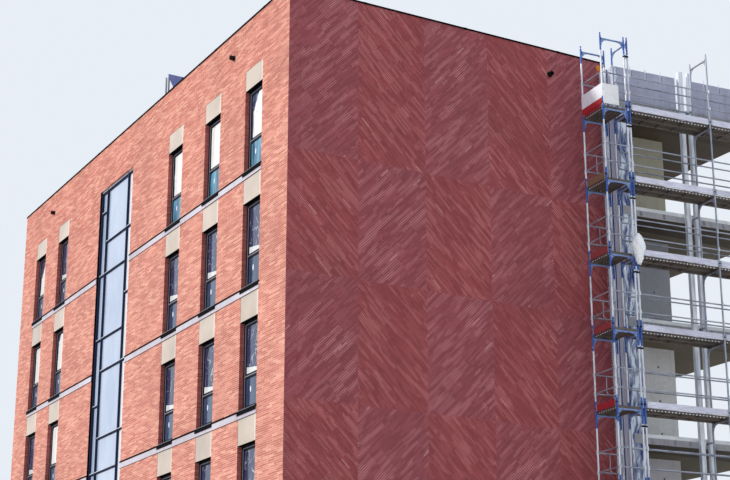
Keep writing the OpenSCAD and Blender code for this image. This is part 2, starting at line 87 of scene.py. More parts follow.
@dataclass(frozen=True)
class Plan:
    """Main sizes of the block and its scaffold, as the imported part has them."""

    width: float = 15.0
    depth: float = 20.7
    wall: float = 0.35
    storeys: int = 6
    storey: float = 3.075
    ground: float = 0.15
    gable: float = 9.69
    wing_step: float = 0.58
    wing_turn: float = 5.0
    wing_l: float = 4.979
    parapet: float = 0.93
    open_side: float = 4.6
    wall_top: float = 19.82
    coping: float = 0.04
    base_top: float = 0.15
    beam: float = 18.425
    window_w: float = 1.0
    window_h: float = 2.225
    window_foot: float = 0.11
    reveal: float = 0.115
    frame_d: float = 0.09
    frame_face: float = 0.11
    frame_outer: float = 0.05
    sash_back: float = 0.015
    transom: float = 0.801
    band_h: float = 0.20
    sill_h: float = 0.11
    sill_side: float = 0.02
    stair_x: float = 7.59
    stair_w: float = 2.76
    lifts: int = 9
    lift_first: float = 1.75
    lift_h: float = 2.0

    def floor(self, storey: int) -> float:
        """Gives the height of a storey's floor."""
        return self.ground + storey * self.storey

    def foot(self, storey: int) -> float:
        """Gives the height of a storey's window feet."""
        return self.floor(storey) + self.window_foot

    def lift(self, k: int) -> float:
        """Gives the height of a scaffold lift's deck frame."""
        return self.lift_first + k * self.lift_h

    @property
    def roof(self) -> float:
        """Gives the height of the roof slab's top."""
        return self.floor(self.storeys)


PLAN = Plan()


class Side(Enum):
    """A side of the block: the start of its own frame and the turn of that frame in degrees."""

    WINDOW_FRONT = (-7.5, 10.35, -90.0)
    BACK = (7.5, 10.35, 180.0)
    RIGHT = (7.5, -10.35, 90.0)
    GABLE = (-7.5, -10.35, 0.0)
    WING = (2.19, -10.93, -PLAN.wing_turn)

    @property
    def matrix(self) -> Matrix:
        """Gives the matrix from the side's frame to the part's frame."""
        x, y, turn = self.value
        return Matrix.Translation((x, y, 0)) @ Matrix.Rotation(math.radians(turn), 4, "Z")


COLUMNS: dict[Side, tuple[float, ...]] = {
    Side.WINDOW_FRONT: (1.9, 4.18, 13.65, 16.19, 18.73),
    Side.BACK: (3.69, 6.23, 8.77, 11.31),
    Side.RIGHT: (8.84, 11.38, 13.92, 16.46),
}
FRONT = (Side.WINDOW_FRONT,)
REAR = (Side.BACK, Side.RIGHT)


def shift(x: float = 0.0, y: float = 0.0, z: float = 0.0) -> Matrix:
    """Gives the matrix of a plain move."""
    return Matrix.Translation((x, y, z))


def turned(degrees: float, axis: str = "Z") -> Matrix:
    """Gives the matrix of a turn about one axis."""
    return Matrix.Rotation(math.radians(degrees), 4, axis)


def whole(low: float, high: float, step: float, phase: float = 0.0) -> Span:
    """Widens a range to whole steps, counted from a phase."""
    start, end = math.floor((low - phase) / step), math.ceil((high - phase) / step)
    return start * step + phase, end * step + phase


class Facing(Enum):
    """Which way the faces of an inset look: the axis, and the sign, or 0 for both ways."""

    FRONT = (1, -1)
    FRONT_AND_BACK = (1, 0)
    TOP = (2, 1)
    UNDER = (2, -1)

    def holds(self, normal: Vector) -> bool:
        """Tells whether a normal looks that way."""
        axis, sign = self.value
        return (normal[axis] * sign if sign else abs(normal[axis])) > 0.9


class Bench:
    """Modelling with operators: primitives, edit-mode work and applied modifiers."""

    @staticmethod
    def pick(piece: Piece | None) -> None:
        """Leaves only one piece selected and active, or nothing.

        Args:
            piece: The piece, if any.
        """
        if bpy.context.object and bpy.context.object.mode != "OBJECT":
            bpy.ops.object.mode_set(mode="OBJECT")
        bpy.ops.object.select_all(action="DESELECT")
        if piece is not None:
            piece.select_set(True)
            bpy.context.view_layer.objects.active = piece

    @classmethod
    def settle(cls, piece: Piece) -> Piece:
        """Puts a piece's place, turn and size into its mesh.

        Args:
            piece: The piece.

        Returns:
            The same piece.
        """
        cls.pick(piece)
        bpy.ops.object.transform_apply(location=True, rotation=True, scale=True)
        return piece

    @classmethod
    def box(cls, low: Sequence[float], high: Sequence[float]) -> Piece:
        """Adds a box between two corners.

        Args:
            low: The lowest corner.
            high: The highest corner.

        Returns:
            The new piece, with its place in its mesh.
        """
        cls.pick(None)
        middle = [(a + b) / 2 for a, b in zip(low, high)]
        size = [b - a for a, b in zip(low, high)]
        bpy.ops.mesh.primitive_cube_add(size=1.0, location=middle, scale=size)
        return cls.settle(bpy.context.object)

    @classmethod
    def bar(cls, low: Sequence[float], high: Sequence[float], edge: float, steps: int = 1) -> Piece:
        """Adds a box between two corners and breaks its edges."""
        return cls.bevel(cls.box(low, high), edge, steps)

    @classmethod
    def tube(cls, start: Place, end: Place, width: float, sides: int = 12) -> Piece:
        """Adds a round bar between two points.

        Args:
            start: The middle of the first end.
            end: The middle of the second end.
            width: The bar's diameter.
            sides: How many faces go round it.

        Returns:
            The new piece, with its place in its mesh.
        """
        cls.pick(None)
        first, last = Vector(start), Vector(end)
        way = last - first
        turn = way.to_track_quat("Z", "Y").to_euler()
        bpy.ops.mesh.primitive_cylinder_add(
            vertices=sides, radius=width / 2, depth=way.length, location=(first + last) / 2, rotation=turn
        )
        return cls.settle(bpy.context.object)

    @classmethod
    def select(cls, piece: Piece, test: Callable[[Vector, Vector], bool] | None = None) -> None:
        """Goes to edit mode with some of the faces selected.

        Args:
            piece: The piece to edit.
            test: Says which faces, from their middle and normal; all if it isn't given.
        """
        cls.pick(piece)
        bpy.ops.object.mode_set(mode="EDIT")
        bpy.ops.mesh.select_mode(type="FACE")
        mesh = bmesh.from_edit_mesh(piece.data)
        for face in mesh.faces:
            face.select_set(test is None or test(face.calc_center_median(), face.normal))
        bmesh.update_edit_mesh(piece.data)

    @classmethod
    def inset(cls, piece: Piece, facing: Facing, border: float, depth: float) -> Piece:
        """Insets the chosen faces one by one and sinks or raises what is inside the border.

        Args:
            piece: The piece to shape.
            facing: Which way the chosen faces look.
            border: Width of the border that is left.
            depth: How far the inner faces go out; below zero they sink.

        Returns:
            The same piece.
        """
        cls.select(piece, lambda _middle, normal: facing.holds(normal))
        bpy.ops.mesh.inset(thickness=border, depth=depth, use_individual=True)
        bpy.ops.object.mode_set(mode="OBJECT")
        return piece

    @classmethod
    def ring(cls, low: Place, high: Place, face: float) -> Piece:
        """Adds an upright rectangular ring, open along y, with mitred corners.

        Args:
            low: Its lowest corner.
            high: Its highest corner.
            face: Width of its four members.

        Returns:
            The ring.
        """
        piece = cls.inset(cls.box(low, high), Facing.FRONT_AND_BACK, face, 0.0)
        middle, level = (low[0] + high[0]) / 2, (low[2] + high[2]) / 2
        half, reach = (high[0] - low[0]) / 2 - face, (high[2] - low[2]) / 2 - face

        def inside(spot: Vector, normal: Vector) -> bool:
            """Tells the two inner faces from the border faces."""
            near = abs(spot.x - middle) < half / 2 and abs(spot.z - level) < reach / 2
            return near and Facing.FRONT_AND_BACK.holds(normal)

        cls.select(piece, inside)
        bpy.ops.mesh.bridge_edge_loops()
        bpy.ops.object.mode_set(mode="OBJECT")
        return piece

    @classmethod
    def bent(cls, points: Sequence[Place], width: float) -> Piece:
        """Makes a round bar of six faces along a path.

        Args:
            points: The path.
            width: The bar's diameter.

        Returns:
            The bar as a mesh.
        """
        data = bpy.data.curves.new("bar", "CURVE")
        data.dimensions = "3D"
        data.bevel_depth = width / 2
        data.bevel_resolution = 1
        data.use_fill_caps = True
        spline = data.splines.new("POLY")
        spline.points.add(len(points) - 1)
        for point, place in zip(spline.points, points):
            point.co = (*place, 1.0)
        bar = bpy.data.objects.new("bar", data)
        bpy.context.scene.collection.objects.link(bar)
        cls.pick(bar)
        bpy.ops.object.convert(target="MESH")
        return bpy.context.object

    @classmethod
    def modifier(cls, piece: Piece, kind: str, **settings: object) -> Piece:
        """Adds a modifier and applies it.

        Args:
            piece: The piece to change.
            kind: The modifier's type.
            settings: Its settings by name.

        Returns:
            The same piece.
        """
        cls.pick(piece)
        added = piece.modifiers.new(kind.lower(), kind)
        for name, value in settings.items():
            setattr(added, name, value)
        bpy.ops.object.modifier_apply(modifier=added.name)
        return piece

    @classmethod
    def bevel(cls, piece: Piece, width: float, steps: int = 1) -> Piece:
        """Breaks a piece's sharp edges."""
        return cls.modifier(piece, "BEVEL", width=width, segments=steps, limit_method="ANGLE")

    @classmethod
    def displace(cls, piece: Piece, texture: str, kind: str, size: float, **settings: object) -> Piece:
        """Moves a piece's skin by a procedural texture.

        Args:
            piece: The piece to change.
            texture: The texture's name.
            kind: Its type.
            size: Its scale.
            settings: Settings of the modifier by name.

        Returns:
            The same piece.
        """
        pattern = bpy.data.textures.new(texture, kind)
        pattern.noise_scale = size
        return cls.modifier(piece, "DISPLACE", texture=pattern, **settings)

    @classmethod
    def row(cls, piece: Piece, count: int, step: Sequence[float]) -> Piece:
        """Repeats a piece in a straight row.

        Args:
            piece: The first of the row.
            count: How many there are.
            step: The way from one to the next.

        Returns:
            The same piece.
        """
        if count < 2:
            return piece
        steps = {"use_relative_offset": False, "use_constant_offset": True, "constant_offset_displace": step}
        return cls.modifier(piece, "ARRAY", count=count, **steps)

    @classmethod
    def crop(cls, piece: Piece, axis: int, low: float, high: float | None = None) -> Piece:
        """Cuts a piece to a range along one axis.

        Args:
            piece: The piece to cut.
            axis: 0 for x, 2 for z.
            low: Where it starts.
            high: Where it ends, if it is cut there too.

        Returns:
            The same piece.
        """
        for level, way in ((low, -1.0), (high, 1.0)):
            if level is not None:
                cls.select(piece)
                ends = [[number if i == axis else 0.0 for i in range(3)] for number in (level, way)]
                bpy.ops.mesh.bisect(plane_co=ends[0], plane_no=ends[1], use_fill=True, clear_outer=True)
                bpy.ops.object.mode_set(mode="OBJECT")
        return piece

    @classmethod
    def smooth(cls, piece: Piece, degrees: float = 40.0) -> Piece:
        """Shades a piece smooth wherever its faces meet below an angle.

        Args:
            piece: The piece.
            degrees: The angle.

        Returns:
            The same piece.
        """
        cls.pick(piece)
        bpy.ops.object.shade_smooth_by_angle(angle=math.radians(degrees))
        return piece

    @classmethod
    def join(cls, pieces: Sequence[Piece]) -> Piece:
        """Joins pieces into the first one.

        Args:
            pieces: The pieces.

        Returns:
            The joined piece.
        """
        cls.pick(pieces[0])
        for piece in pieces:
            piece.select_set(True)
        if len(pieces) > 1:
            bpy.ops.object.join()
        return bpy.context.object

    @staticmethod
    def copy(piece: Piece, place: Matrix) -> Piece:
        """Copies a piece with its own mesh, moved by a matrix.

        Args:
            piece: The piece to copy.
            place: The move.

        Returns:
            The copy.
        """
        twin = piece.copy()
        twin.data = piece.data.copy()
        twin.data.transform(place)
        bpy.context.scene.collection.objects.link(twin)
        return twin

    @classmethod
    def repeat(cls, piece: Piece, places: Iterable[Matrix]) -> Piece:
        """Copies a model to each place, joins the copies and removes the model.

        Args:
            piece: The model, near the origin of the side's frame.
            places: The matrices that put the copies in place.

        Returns:
            One piece that holds all the copies.
        """
        copies = [cls.copy(piece, place) for place in places]
        cls.pick(None)
        bpy.data.objects.remove(piece)
        return cls.join(copies)


def math_node(operation: str) -> Callable[..., "Number"]:
    """Gives the method that adds one kind of Math node.

    Args:
        operation: The node's operation.

    Returns:
        The method, which takes the node's values.
    """

    def result(*values: object) -> "Number":
        """Adds the node to the tree of the first number and gives its result."""
        return values[0].graph.math(operation, *values)

    return result


class Number:
    """A value that a node gives; arithmetic on it adds Math nodes to its tree."""

    __add__ = math_node("ADD")
    __sub__ = math_node("SUBTRACT")
    __mul__ = math_node("MULTIPLY")
    __truediv__ = math_node("DIVIDE")
    __mod__ = math_node("FLOORED_MODULO")
    __pow__ = math_node("POWER")
    __lt__ = math_node("LESS_THAN")
    __gt__ = math_node("GREATER_THAN")
    __abs__ = math_node("ABSOLUTE")
    floor = math_node("FLOOR")
    least = math_node("MINIMUM")
    most = math_node("MAXIMUM")
    scaled = math_node("MULTIPLY_ADD")

    def __init__(self, graph: "Graph", socket: Socket) -> None:
        """Keeps the graph of the tree and the socket that gives the value."""
        self.graph = graph
        self.socket = socket

    def __rsub__(self, other: float) -> "Number":
        """Takes the number from a plain one."""
        return self.graph.math("SUBTRACT", other, self)


class Graph:
    """Short calls that add and link the nodes of one tree."""

    def __init__(self, tree: bpy.types.NodeTree) -> None:
        """Keeps the tree to work on."""
        self.tree = tree

    def add(self, kind: str, feeds: dict | None = None, **settings: object) -> Node:
        """Adds a shader node.

        Args:
            kind: Its type, less the leading "ShaderNode".
            feeds: Links and values by the name or index of the input.
            settings: Its properties by name.

        Returns:
            The node.
        """
        node = self.tree.nodes.new("ShaderNode" + kind)
        for name, value in settings.items():
            setattr(node, name, value)
        for key, value in (feeds or {}).items():
            self.feed(node.inputs[key], value)
        return node

    def feed(self, socket: Socket, value: object) -> None:
        """Links a socket to another, or sets its value.

        Args:
            socket: The input.
            value: A number, socket or plain value.
        """
        source = value.socket if isinstance(value, Number) else value
        if isinstance(source, bpy.types.NodeSocket):
            self.tree.links.new(source, socket)
        else:
            socket.default_value = source

    def number(self, node: Node, output: str | int = 0) -> Number:
        """Gives one output of a node as a number."""
        return Number(self, node.outputs[output])

    def math(self, operation: str, *values: object) -> Number:
        """Adds a Math node and gives its result."""
        return self.number(self.add("Math", dict(enumerate(values)), operation=operation))

    def move(self, operation: str, first: object, second: object) -> Socket:
        """Adds a Vector Math node and gives its vector."""
        return self.add("VectorMath", {0: first, 1: second}, operation=operation).outputs[0]

    def split(self, vector: Socket) -> list[Number]:
        """Splits a vector into its three parts."""
        return [Number(self, part) for part in self.add("SeparateXYZ", {0: vector}).outputs]

    def gather(self, x: object, y: object, z: object) -> Socket:
        """Makes a vector from three parts."""
        return self.add("CombineXYZ", {0: x, 1: y, 2: z}).outputs[0]

    def place(self) -> Socket:
        """Gives the Object coordinates."""
        return self.add("TexCoord").outputs["Object"]

    def xyz(self) -> list[Number]:
        """Gives the three Object coordinates."""
        return self.split(self.place())

    def facing(self) -> list[Number]:
        """Gives the three parts of the direction that the surface faces."""
        return self.split(self.add("NewGeometry").outputs["Normal"])

    def noise(
        self,
        scale: object,
        detail: float = 3.0,
        rough: float = 0.55,
        drawn: Place | None = None,
        place: object = None,
    ) -> Number:
        """Adds a Noise Texture.

        Args:
            scale: How fine it is.
            detail: How many layers it has.
            rough: How much the finer layers weigh.
            drawn: Factors along the three axes, where it is drawn out.
            place: Where it is read, if not at the Object coordinates.

        Returns:
            Its value.
        """
        spot = self.place() if place is None else place
        if drawn is not None:
            spot = self.move("MULTIPLY", spot, drawn)
        feeds = {"Vector": spot, "Scale": scale, "Detail": detail, "Roughness": rough}
        return self.number(self.add("TexNoise", feeds))

    def dice(self, x: object, y: object, seed: float) -> Number:
        """Gives one random number for each pair of whole numbers."""
        feeds = {"Vector": self.gather(x, y, seed)}
        return self.number(self.add("TexWhiteNoise", feeds, noise_dimensions="3D"), "Value")

    def ramp(self, value: Number, colours: Sequence[Colour], steps: bool = False) -> Socket:
        """Spreads colours over the range from 0 to 1.

        Args:
            value: The number that picks the colour.
            colours: The colours, from the lowest number to the highest.
            steps: Whether they change in steps, or flow into each other.

        Returns:
            The colour.
        """
        node = self.add("ValToRGB", {0: value})
        node.color_ramp.interpolation = "CONSTANT" if steps else "LINEAR"
        for index, colour in enumerate(colours):
            spot = index / len(colours)
            stop = node.color_ramp.elements[index] if index < 2 else node.color_ramp.elements.new(spot)
            stop.position = spot
            stop.color = colour
        return node.outputs[0]

    def by_level(self, colours: Sequence[Colour], first: float, pitch: float) -> Socket:
        """Gives one of the colours by height, from the lowest level to the highest."""
        height = self.xyz()[2] - first
        return self.ramp(height / (pitch * len(colours)), colours, steps=True)

    def between(
        self, value: Number, low: float, high: float, first: float = 0.0, last: float = 1.0
    ) -> Number:
        """Maps a range of a value to another range, with no overshoot."""
        feeds = dict(enumerate((value, low, high, first, last)))
        return self.number(self.add("MapRange", feeds, clamp=True))

    def mix(self, share: object, first: object, second: object, mode: str = "MIX") -> Socket:
        """Mixes two colours and gives the result."""
        feeds = {0: share, 6: first, 7: second}
        return self.add("Mix", feeds, data_type="RGBA", blend_type=mode).outputs[2]

    def toned(self, colour: object, tone: object) -> Socket:
        """Multiplies a colour by a number or by another colour."""
        factor = self.gather(tone, tone, tone) if isinstance(tone, Number) else tone
        return self.mix(1.0, colour, factor, "MULTIPLY")

    def choose(self, share: Number, first: object, last: object) -> Number:
        """Gives the first number where the share is 0 and the last one where it is 1."""
        return share.scaled(self.math("SUBTRACT", last, first), first)

    def use(self, group: bpy.types.NodeTree, **values: object) -> dict[str, Number]:
        """Places a shared node group.

        Args:
            group: The group's tree.
            values: Numbers, sockets or plain values by the name of the input.

        Returns:
            The group's outputs by name.
        """
        node = self.add("Group", node_tree=group)
        for name, value in values.items():
            self.feed(node.inputs[name], value)
        return {socket.name: Number(self, socket) for socket in node.outputs}

    def bond(
        self, along: Number, up: Number, length: float, course: float, joint: float
    ) -> dict[str, Number]:
        """Places the running bond."""
        return self.use(Effect.bond(), Along=along, Up=up, Length=length, Course=course, Joint=joint)

    def grain(self, scale: float) -> Number:
        """Gives the fine grain at a scale."""
        return self.use(Effect.grain(), Place=self.place(), Scale=scale)["Value"]

    def soiled(self, colour: Socket, stain: Colour, amount: float, runs: float) -> Socket:
        """Stains a colour with patches and rain runs."""
        dirt = self.use(Effect.dirt(), Place=self.place(), Amount=amount, Runs=runs)
        return self.mix(dirt["Mask"], colour, stain)

    def bump(self, height: Number, strength: float, distance: float) -> Socket:
        """Adds a Bump node and gives its normal."""
        feeds = {"Height": height, "Strength": strength, "Distance": distance}
        return self.add("Bump", feeds).outputs[0]


class Effect:
    """Node groups that more than one finish uses, each built once."""

    @staticmethod
    def start(name: str, takes: dict[str, float | None]) -> tuple[Graph, list[Number]]:
        """Starts a node group.

        Args:
            name: The group's name.
            takes: Default of each input by its name; a vector has none.

        Returns:
            The graph and its inputs.
        """
        tree = bpy.data.node_groups.new(name, "ShaderNodeTree")
        for label, default in takes.items():
            kind = "NodeSocketVector" if default is None else "NodeSocketFloat"
            socket = tree.interface.new_socket(label, in_out="INPUT", socket_type=kind)
            if default is not None:
                socket.default_value = default
        graph = Graph(tree)
        given = tree.nodes.new("NodeGroupInput").outputs[: len(takes)]
        return graph, [Number(graph, socket) for socket in given]

    @staticmethod
    def close(graph: Graph, gives: dict[str, Number]) -> bpy.types.NodeTree:
        """Gives a node group its outputs.

        Args:
            graph: The group's graph.
            gives: The number for each output by its name.

        Returns:
            The group.
        """
        for label in gives:
            graph.tree.interface.new_socket(label, in_out="OUTPUT", socket_type="NodeSocketFloat")
        out = graph.tree.nodes.new("NodeGroupOutput")
        for label, value in gives.items():
            graph.feed(out.inputs[label], value)
        return graph.tree

    @staticmethod
    @cache
    def bond() -> bpy.types.NodeTree:
        """Running bond.

        Returns:
            The group: two random tones for each brick, a mask of its face, and how far the
            nearest bed joint is.
        """
        takes = {"Along": 0.0, "Up": 0.0, "Length": 0.3, "Course": 0.05, "Joint": 0.01}
        graph, (along, up, length, course, joint) = Effect.start("running bond", takes)
        level = up / course
        index = level.floor()
        spot = (index % 2.0).scaled(0.5, along / length)
        brick = spot.floor()
        across = (spot - brick) * length
        height = (level - index) * course
        to_bed = height.least(course - height)
        edge = across.least(length - across).least(to_bed)
        tones = {"Tone": graph.dice(brick, index, 3.0), "Second Tone": graph.dice(brick, index, 8.0)}
        return Effect.close(graph, tones | {"Face": edge > joint * 0.5, "Bed": to_bed})

    @staticmethod
    @cache
    def dirt() -> bpy.types.NodeTree:
        """Soft patches and rain runs.

        Returns:
            The group, which gives their mask.
        """
        takes = {"Place": None, "Amount": 0.3, "Runs": 0.5}
        graph, (place, amount, runs) = Effect.start("rain dirt", takes)
        patches = graph.between(graph.noise(0.55, 5.0, 0.6, place=place), 0.42, 0.72)
        streaks = graph.between(graph.noise(1.4, 4.0, 0.7, (5.0, 5.0, 0.35), place), 0.5, 0.78)
        return Effect.close(graph, {"Mask": (streaks.scaled(runs, patches) * amount).least(1.0)})

    @staticmethod
    @cache
    def grain() -> bpy.types.NodeTree:
        """Fine grain at two scales.

        Returns:
            The group, which gives a value from 0 to 1.
        """
        graph, (place, scale) = Effect.start("fine grain", {"Place": None, "Scale": 20.0})
        coarse = graph.noise(scale, 6.0, 0.65, place=place)
        fine = graph.noise(scale * 7.0, 2.0, 0.5, place=place)
        return Effect.close(graph, {"Value": fine.scaled(0.35, coarse * 0.65)})


@dataclass(frozen=True)
class Finish:
    """A finish with a name, a gloss and a metal share; subclasses give colour and relief."""

    name: str
    rough: float = 0.6
    metal: float = 0.0
    shine: float = 0.5

    def colour(self, graph: Graph) -> Socket:
        """Gives the colour over the surface."""
        raise NotImplementedError

    def relief(self, graph: Graph) -> Socket:
        """Gives the normal of the relief."""
        raise NotImplementedError

    def gloss(self, graph: Graph) -> Number:
        """Gives a roughness that varies a little round the finish's own."""
        low, high = max(self.rough - 0.08, 0.02), min(self.rough + 0.08, 1.0)
        return graph.between(graph.noise(3.0, 4.0), 0.3, 0.7, low, high)

    def constants(self) -> dict[str, float]:
        """Gives the numbers that are the same all over the surface."""
        return {"Metallic": self.metal, "Specular IOR Level": self.shine}

    def build(self) -> bpy.types.Material:
        """Builds the material.

        Returns:
            The material, ready to assign.
        """
        material = bpy.data.materials.new(self.name)
        material.use_nodes = True
        material.node_tree.nodes.clear()
        graph = Graph(material.node_tree)
        maps = {"Base Color": self.colour(graph), "Roughness": self.gloss(graph)}
        maps["Normal"] = self.relief(graph)
        shader = graph.add("BsdfPrincipled", self.constants() | maps)
        graph.add("OutputMaterial", {"Surface": shader.outputs["BSDF"]})
        return material


BRICK_L = 0.30
COURSE = 0.05125
JOINT = 0.010
FIELD_W = 1.943
FIELD_Z = 0.175
PAIR = 2 * COURSE


class Lay(Enum):
    """How a brick leaf is laid."""

    LEVEL = "level courses"
    SLANTED = "slanted courses that change direction from field to field"


@dataclass(frozen=True, kw_only=True)
class BrickFinish(Finish):
    """Long-format facing brick with its joints; the wall's inner side is plain block."""

    shades: tuple[Colour, ...]
    joint: Colour
    fleck: Colour
    fleck_share: float
    lay: Lay = Lay.LEVEL
    streaks: float = 0.0
    streak_l: float = 0.62
    streak_w: float = 0.0105
    # corner and return_shade are painted shade: faces that look to -Y take the shaded gable's dark red.
    corner: Colour | None = None
    return_shade: Colour = (0.62, 0.36, 0.40, 1.0)
    rising_cast: Colour = (0.97, 1.03, 1.10, 1.0)
    falling_cast: Colour = (1.0, 0.95, 0.94, 1.0)
    level_start: float = 7.503

    def rising(self, graph: Graph) -> Number:
        """Tells the gable's fields apart.

        Args:
            graph: The graph to build in.

        Returns:
            1 where the courses rise from the corner and 0 in the other fields.
        """
        x, _y, z = graph.xyz()
        column = ((x + PLAN.width / 2) / FIELD_W).floor()
        row = ((z - FIELD_Z) / PLAN.storey).floor().most(0.0).least(PLAN.storeys - 1.0)
        return (column + row) % 2.0

    def bond(self, graph: Graph, length: float = BRICK_L) -> dict[str, Number]:
        """Places the running bond on the wall, level or slanted.

        Args:
            graph: The material's tree.
            length: Length of one brick, or of one streak.

        Returns:
            The outputs of the bond by name.
        """
        x, y, z = graph.xyz()
        if self.lay is Lay.LEVEL:
            return graph.bond(x + y + self.level_start, z, length, COURSE, JOINT)
        root_half = math.sqrt(0.5)
        from_corner = x + PLAN.width / 2
        way = self.rising(graph).scaled(2.0, -1.0)
        along = (z + way * from_corner) * root_half
        return graph.bond(along, (way * z - from_corner) * root_half, length, COURSE, JOINT)

    def streak(self, graph: Graph) -> Number:
        """Draws the short pale lines of smeared mortar along the bed joints, in loose patches.

        Args:
            graph: The graph to build in.

        Returns:
            1 on the lines and 0 elsewhere.
        """
        bond = self.bond(graph, self.streak_l)
        patch = graph.between(graph.noise(0.75, 2.0, 0.6), 0.38, 0.66, 0.07, self.streaks)
        return (bond["Second Tone"] < patch) * (bond["Bed"] < self.streak_w)

    def towards_gable(self, graph: Graph) -> Number:
        """Gives 1 on the end faces of the window front's wall that lie behind the gable's bricks."""
        return (graph.facing()[1] < -0.9) * (graph.xyz()[1] < 0.003 - PLAN.depth / 2)

    def inside(self, graph: Graph) -> Number:
        """Gives 1 on the inner side of the walls and 0 outside."""
        x, y, _z = graph.xyz()
        return (abs(x) < PLAN.width / 2 - 0.2) * (abs(y) < PLAN.depth / 2 - 0.2)

    def colour(self, graph: Graph) -> Socket:
        """Gives brick, joint and inner block their colours.

        Args:
            graph: The material's tree.

        Returns:
            The colour.
        """
        bond = self.bond(graph)
        brick = graph.ramp(bond["Tone"], self.shades)
        pale = bond["Second Tone"] < self.fleck_share
        brick = graph.mix(pale * 0.85, brick, self.fleck)
        brick = graph.toned(brick, graph.between(graph.grain(14.0), 0.3, 0.7, 0.80, 1.16))
        wall = graph.mix(bond["Face"], self.joint, brick)
        wall = graph.soiled(wall, tint(96, 66, 62), 0.16, 0.6)
        if self.streaks:
            wall = graph.mix(self.streak(graph), wall, self.fleck)
        if self.lay is Lay.SLANTED:
            cast = graph.mix(self.rising(graph), self.falling_cast, self.rising_cast)
            wall = graph.toned(wall, cast)
        if self.corner is not None:
            # Painted shade: faces that look to -Y are darkened, and the end faces behind the gable take the
            # dark corner colour.
            wall = graph.mix(graph.facing()[1] < -0.9, wall, graph.toned(wall, self.return_shade))
            wall = graph.mix(self.towards_gable(graph), wall, self.corner)
        return graph.mix(self.inside(graph), wall, self.block(graph))

    def block(self, graph: Graph) -> Socket:
        """Draws the inner block wall with its joints.

        Args:
            graph: The graph to build in.

        Returns:
            Its colour.
        """
        x, y, z = graph.xyz()
        bond = graph.bond(x + y, z, 0.5, 0.25, JOINT)
        block = graph.toned(tint(176, 172, 166), graph.between(bond["Tone"], 0.0, 1.0, 0.86, 1.08))
        return graph.mix(bond["Face"], tint(150, 148, 145), block)

    def relief(self, graph: Graph) -> Socket:
        """Sinks the joints and roughens the brick faces."""
        height = graph.grain(22.0).scaled(0.5, self.bond(graph)["Face"] * 0.35)
        return graph.bump(height, 0.35, 0.005)


@dataclass(frozen=True, kw_only=True)
class CastFinish(Finish):
    """Cast or smooth mineral surface with pores, stains and, where asked, form lines."""

    base: Colour
    pale: Colour
    stain: Colour
    dirt: float = 0.35
    board_h: float = 0.0
    board_l: float = 0.0
    line: float = 0.012
    # Painted shade: the darker, browner colour that faces looking down take.
    under: Colour | None = None

    def lines(self, graph: Graph) -> Number:
        """Gives 1 on the surface and 0 in the thin lines between form boards."""
        x, y, z = graph.xyz()
        return graph.bond(x + y * 0.37, z, self.board_l, self.board_h, self.line)["Face"]

    def colour(self, graph: Graph) -> Socket:
        """Gives the mottled colour with stains and lines.

        Args:
            graph: The material's tree.

        Returns:
            The colour.
        """
        cloud = graph.between(graph.noise(1.1, 6.0, 0.62), 0.34, 0.68)
        body = graph.mix(cloud, self.base, self.pale)
        body = graph.toned(body, graph.between(graph.grain(9.0), 0.3, 0.7, 0.86, 1.1))
        body = graph.soiled(body, self.stain, self.dirt, 0.8)
        if self.board_h:
            body = graph.mix(self.lines(graph), self.stain, body)
        # Painted shade under the slabs: faces that look down take the under colour.
        if self.under is not None:
            under = graph.mix(cloud * 0.3, self.under, self.stain)
            body = graph.mix(graph.facing()[2] < -0.5, body, under)
        return body

    def relief(self, graph: Graph) -> Socket:
        """Draws pores and, where asked, the form lines.

        Args:
            graph: The graph to build in.

        Returns:
            The normal.
        """
        height = graph.grain(16.0)
        if self.board_h:
            height = self.lines(graph).scaled(0.8, height)
        return graph.bump(height, 0.4, 0.006)


@dataclass(frozen=True, kw_only=True)
class StoreyLightCastFinish(CastFinish):
    """Cast walls with painted light and shade that differ from storey to storey, from the lowest to the
    highest.
    """

    tones: tuple[Colour, ...]

    def colour(self, graph: Graph) -> Socket:
        """Gives the cast surface, toned by storey with painted light and shade."""
        tone = graph.by_level(self.tones, PLAN.floor(0), PLAN.storey)
        return graph.toned(super().colour(graph), tone)


@dataclass(frozen=True, kw_only=True)
class CoatFinish(Finish):
    """Paint or coating on metal with dust, fine orange peel and worn spots."""

    base: Colour
    worn: Colour
    wear: float
    scale: float = 6.0

    def colour(self, graph: Graph) -> Socket:
        """Gives the coat with its worn and dusty spots.

        Args:
            graph: The material's tree.

        Returns:
            The colour.
        """
        spots = graph.between(graph.noise(self.scale, 7.0, 0.7), 0.62 - self.wear, 0.78 - self.wear)
        coat = graph.toned(self.base, graph.between(graph.noise(0.8, 4.0), 0.35, 0.65, 0.88, 1.1))
        return graph.mix(spots * min(1.0, self.wear * 3.0), coat, self.worn)

    def relief(self, graph: Graph) -> Socket:
        """Gives a very fine uneven skin."""
        return graph.bump(graph.noise(60.0, 2.0), 0.12, 0.002)


@dataclass(frozen=True, kw_only=True)
class FoilFinish(Finish):
    """Foil facing of the boards: deep blue with bright upright reflections, pale at its side."""

    deep: Colour
    bright: Colour
    side: Colour

    def waves(self, graph: Graph) -> Number:
        """Draws the long wavy reflections.

        Args:
            graph: The graph to build in.

        Returns:
            Their strength.
        """
        sway = graph.noise(1.6, 2.0, drawn=(0.6, 0.6, 1.1))
        x, y, z = graph.xyz()
        return graph.noise(8.5, 3.0, 0.6, place=graph.gather(sway.scaled(0.35, x), y, z * 0.16))

    def colour(self, graph: Graph) -> Socket:
        """Gives the streaks, and the plain colour of the short side.

        Args:
            graph: The material's tree.

        Returns:
            The colour.
        """
        waves = self.waves(graph)
        middle = graph.mix(0.35, self.deep, self.bright)
        body = graph.mix(graph.between(waves, 0.38, 0.47), self.deep, middle)
        body = graph.mix(graph.between(waves, 0.51, 0.56), body, self.bright)
        return graph.mix(graph.facing()[0] < -0.5, body, self.side)

    def relief(self, graph: Graph) -> Socket:
        """Gives the dents of the foil."""
        return graph.bump(self.waves(graph), 0.3, 0.01)


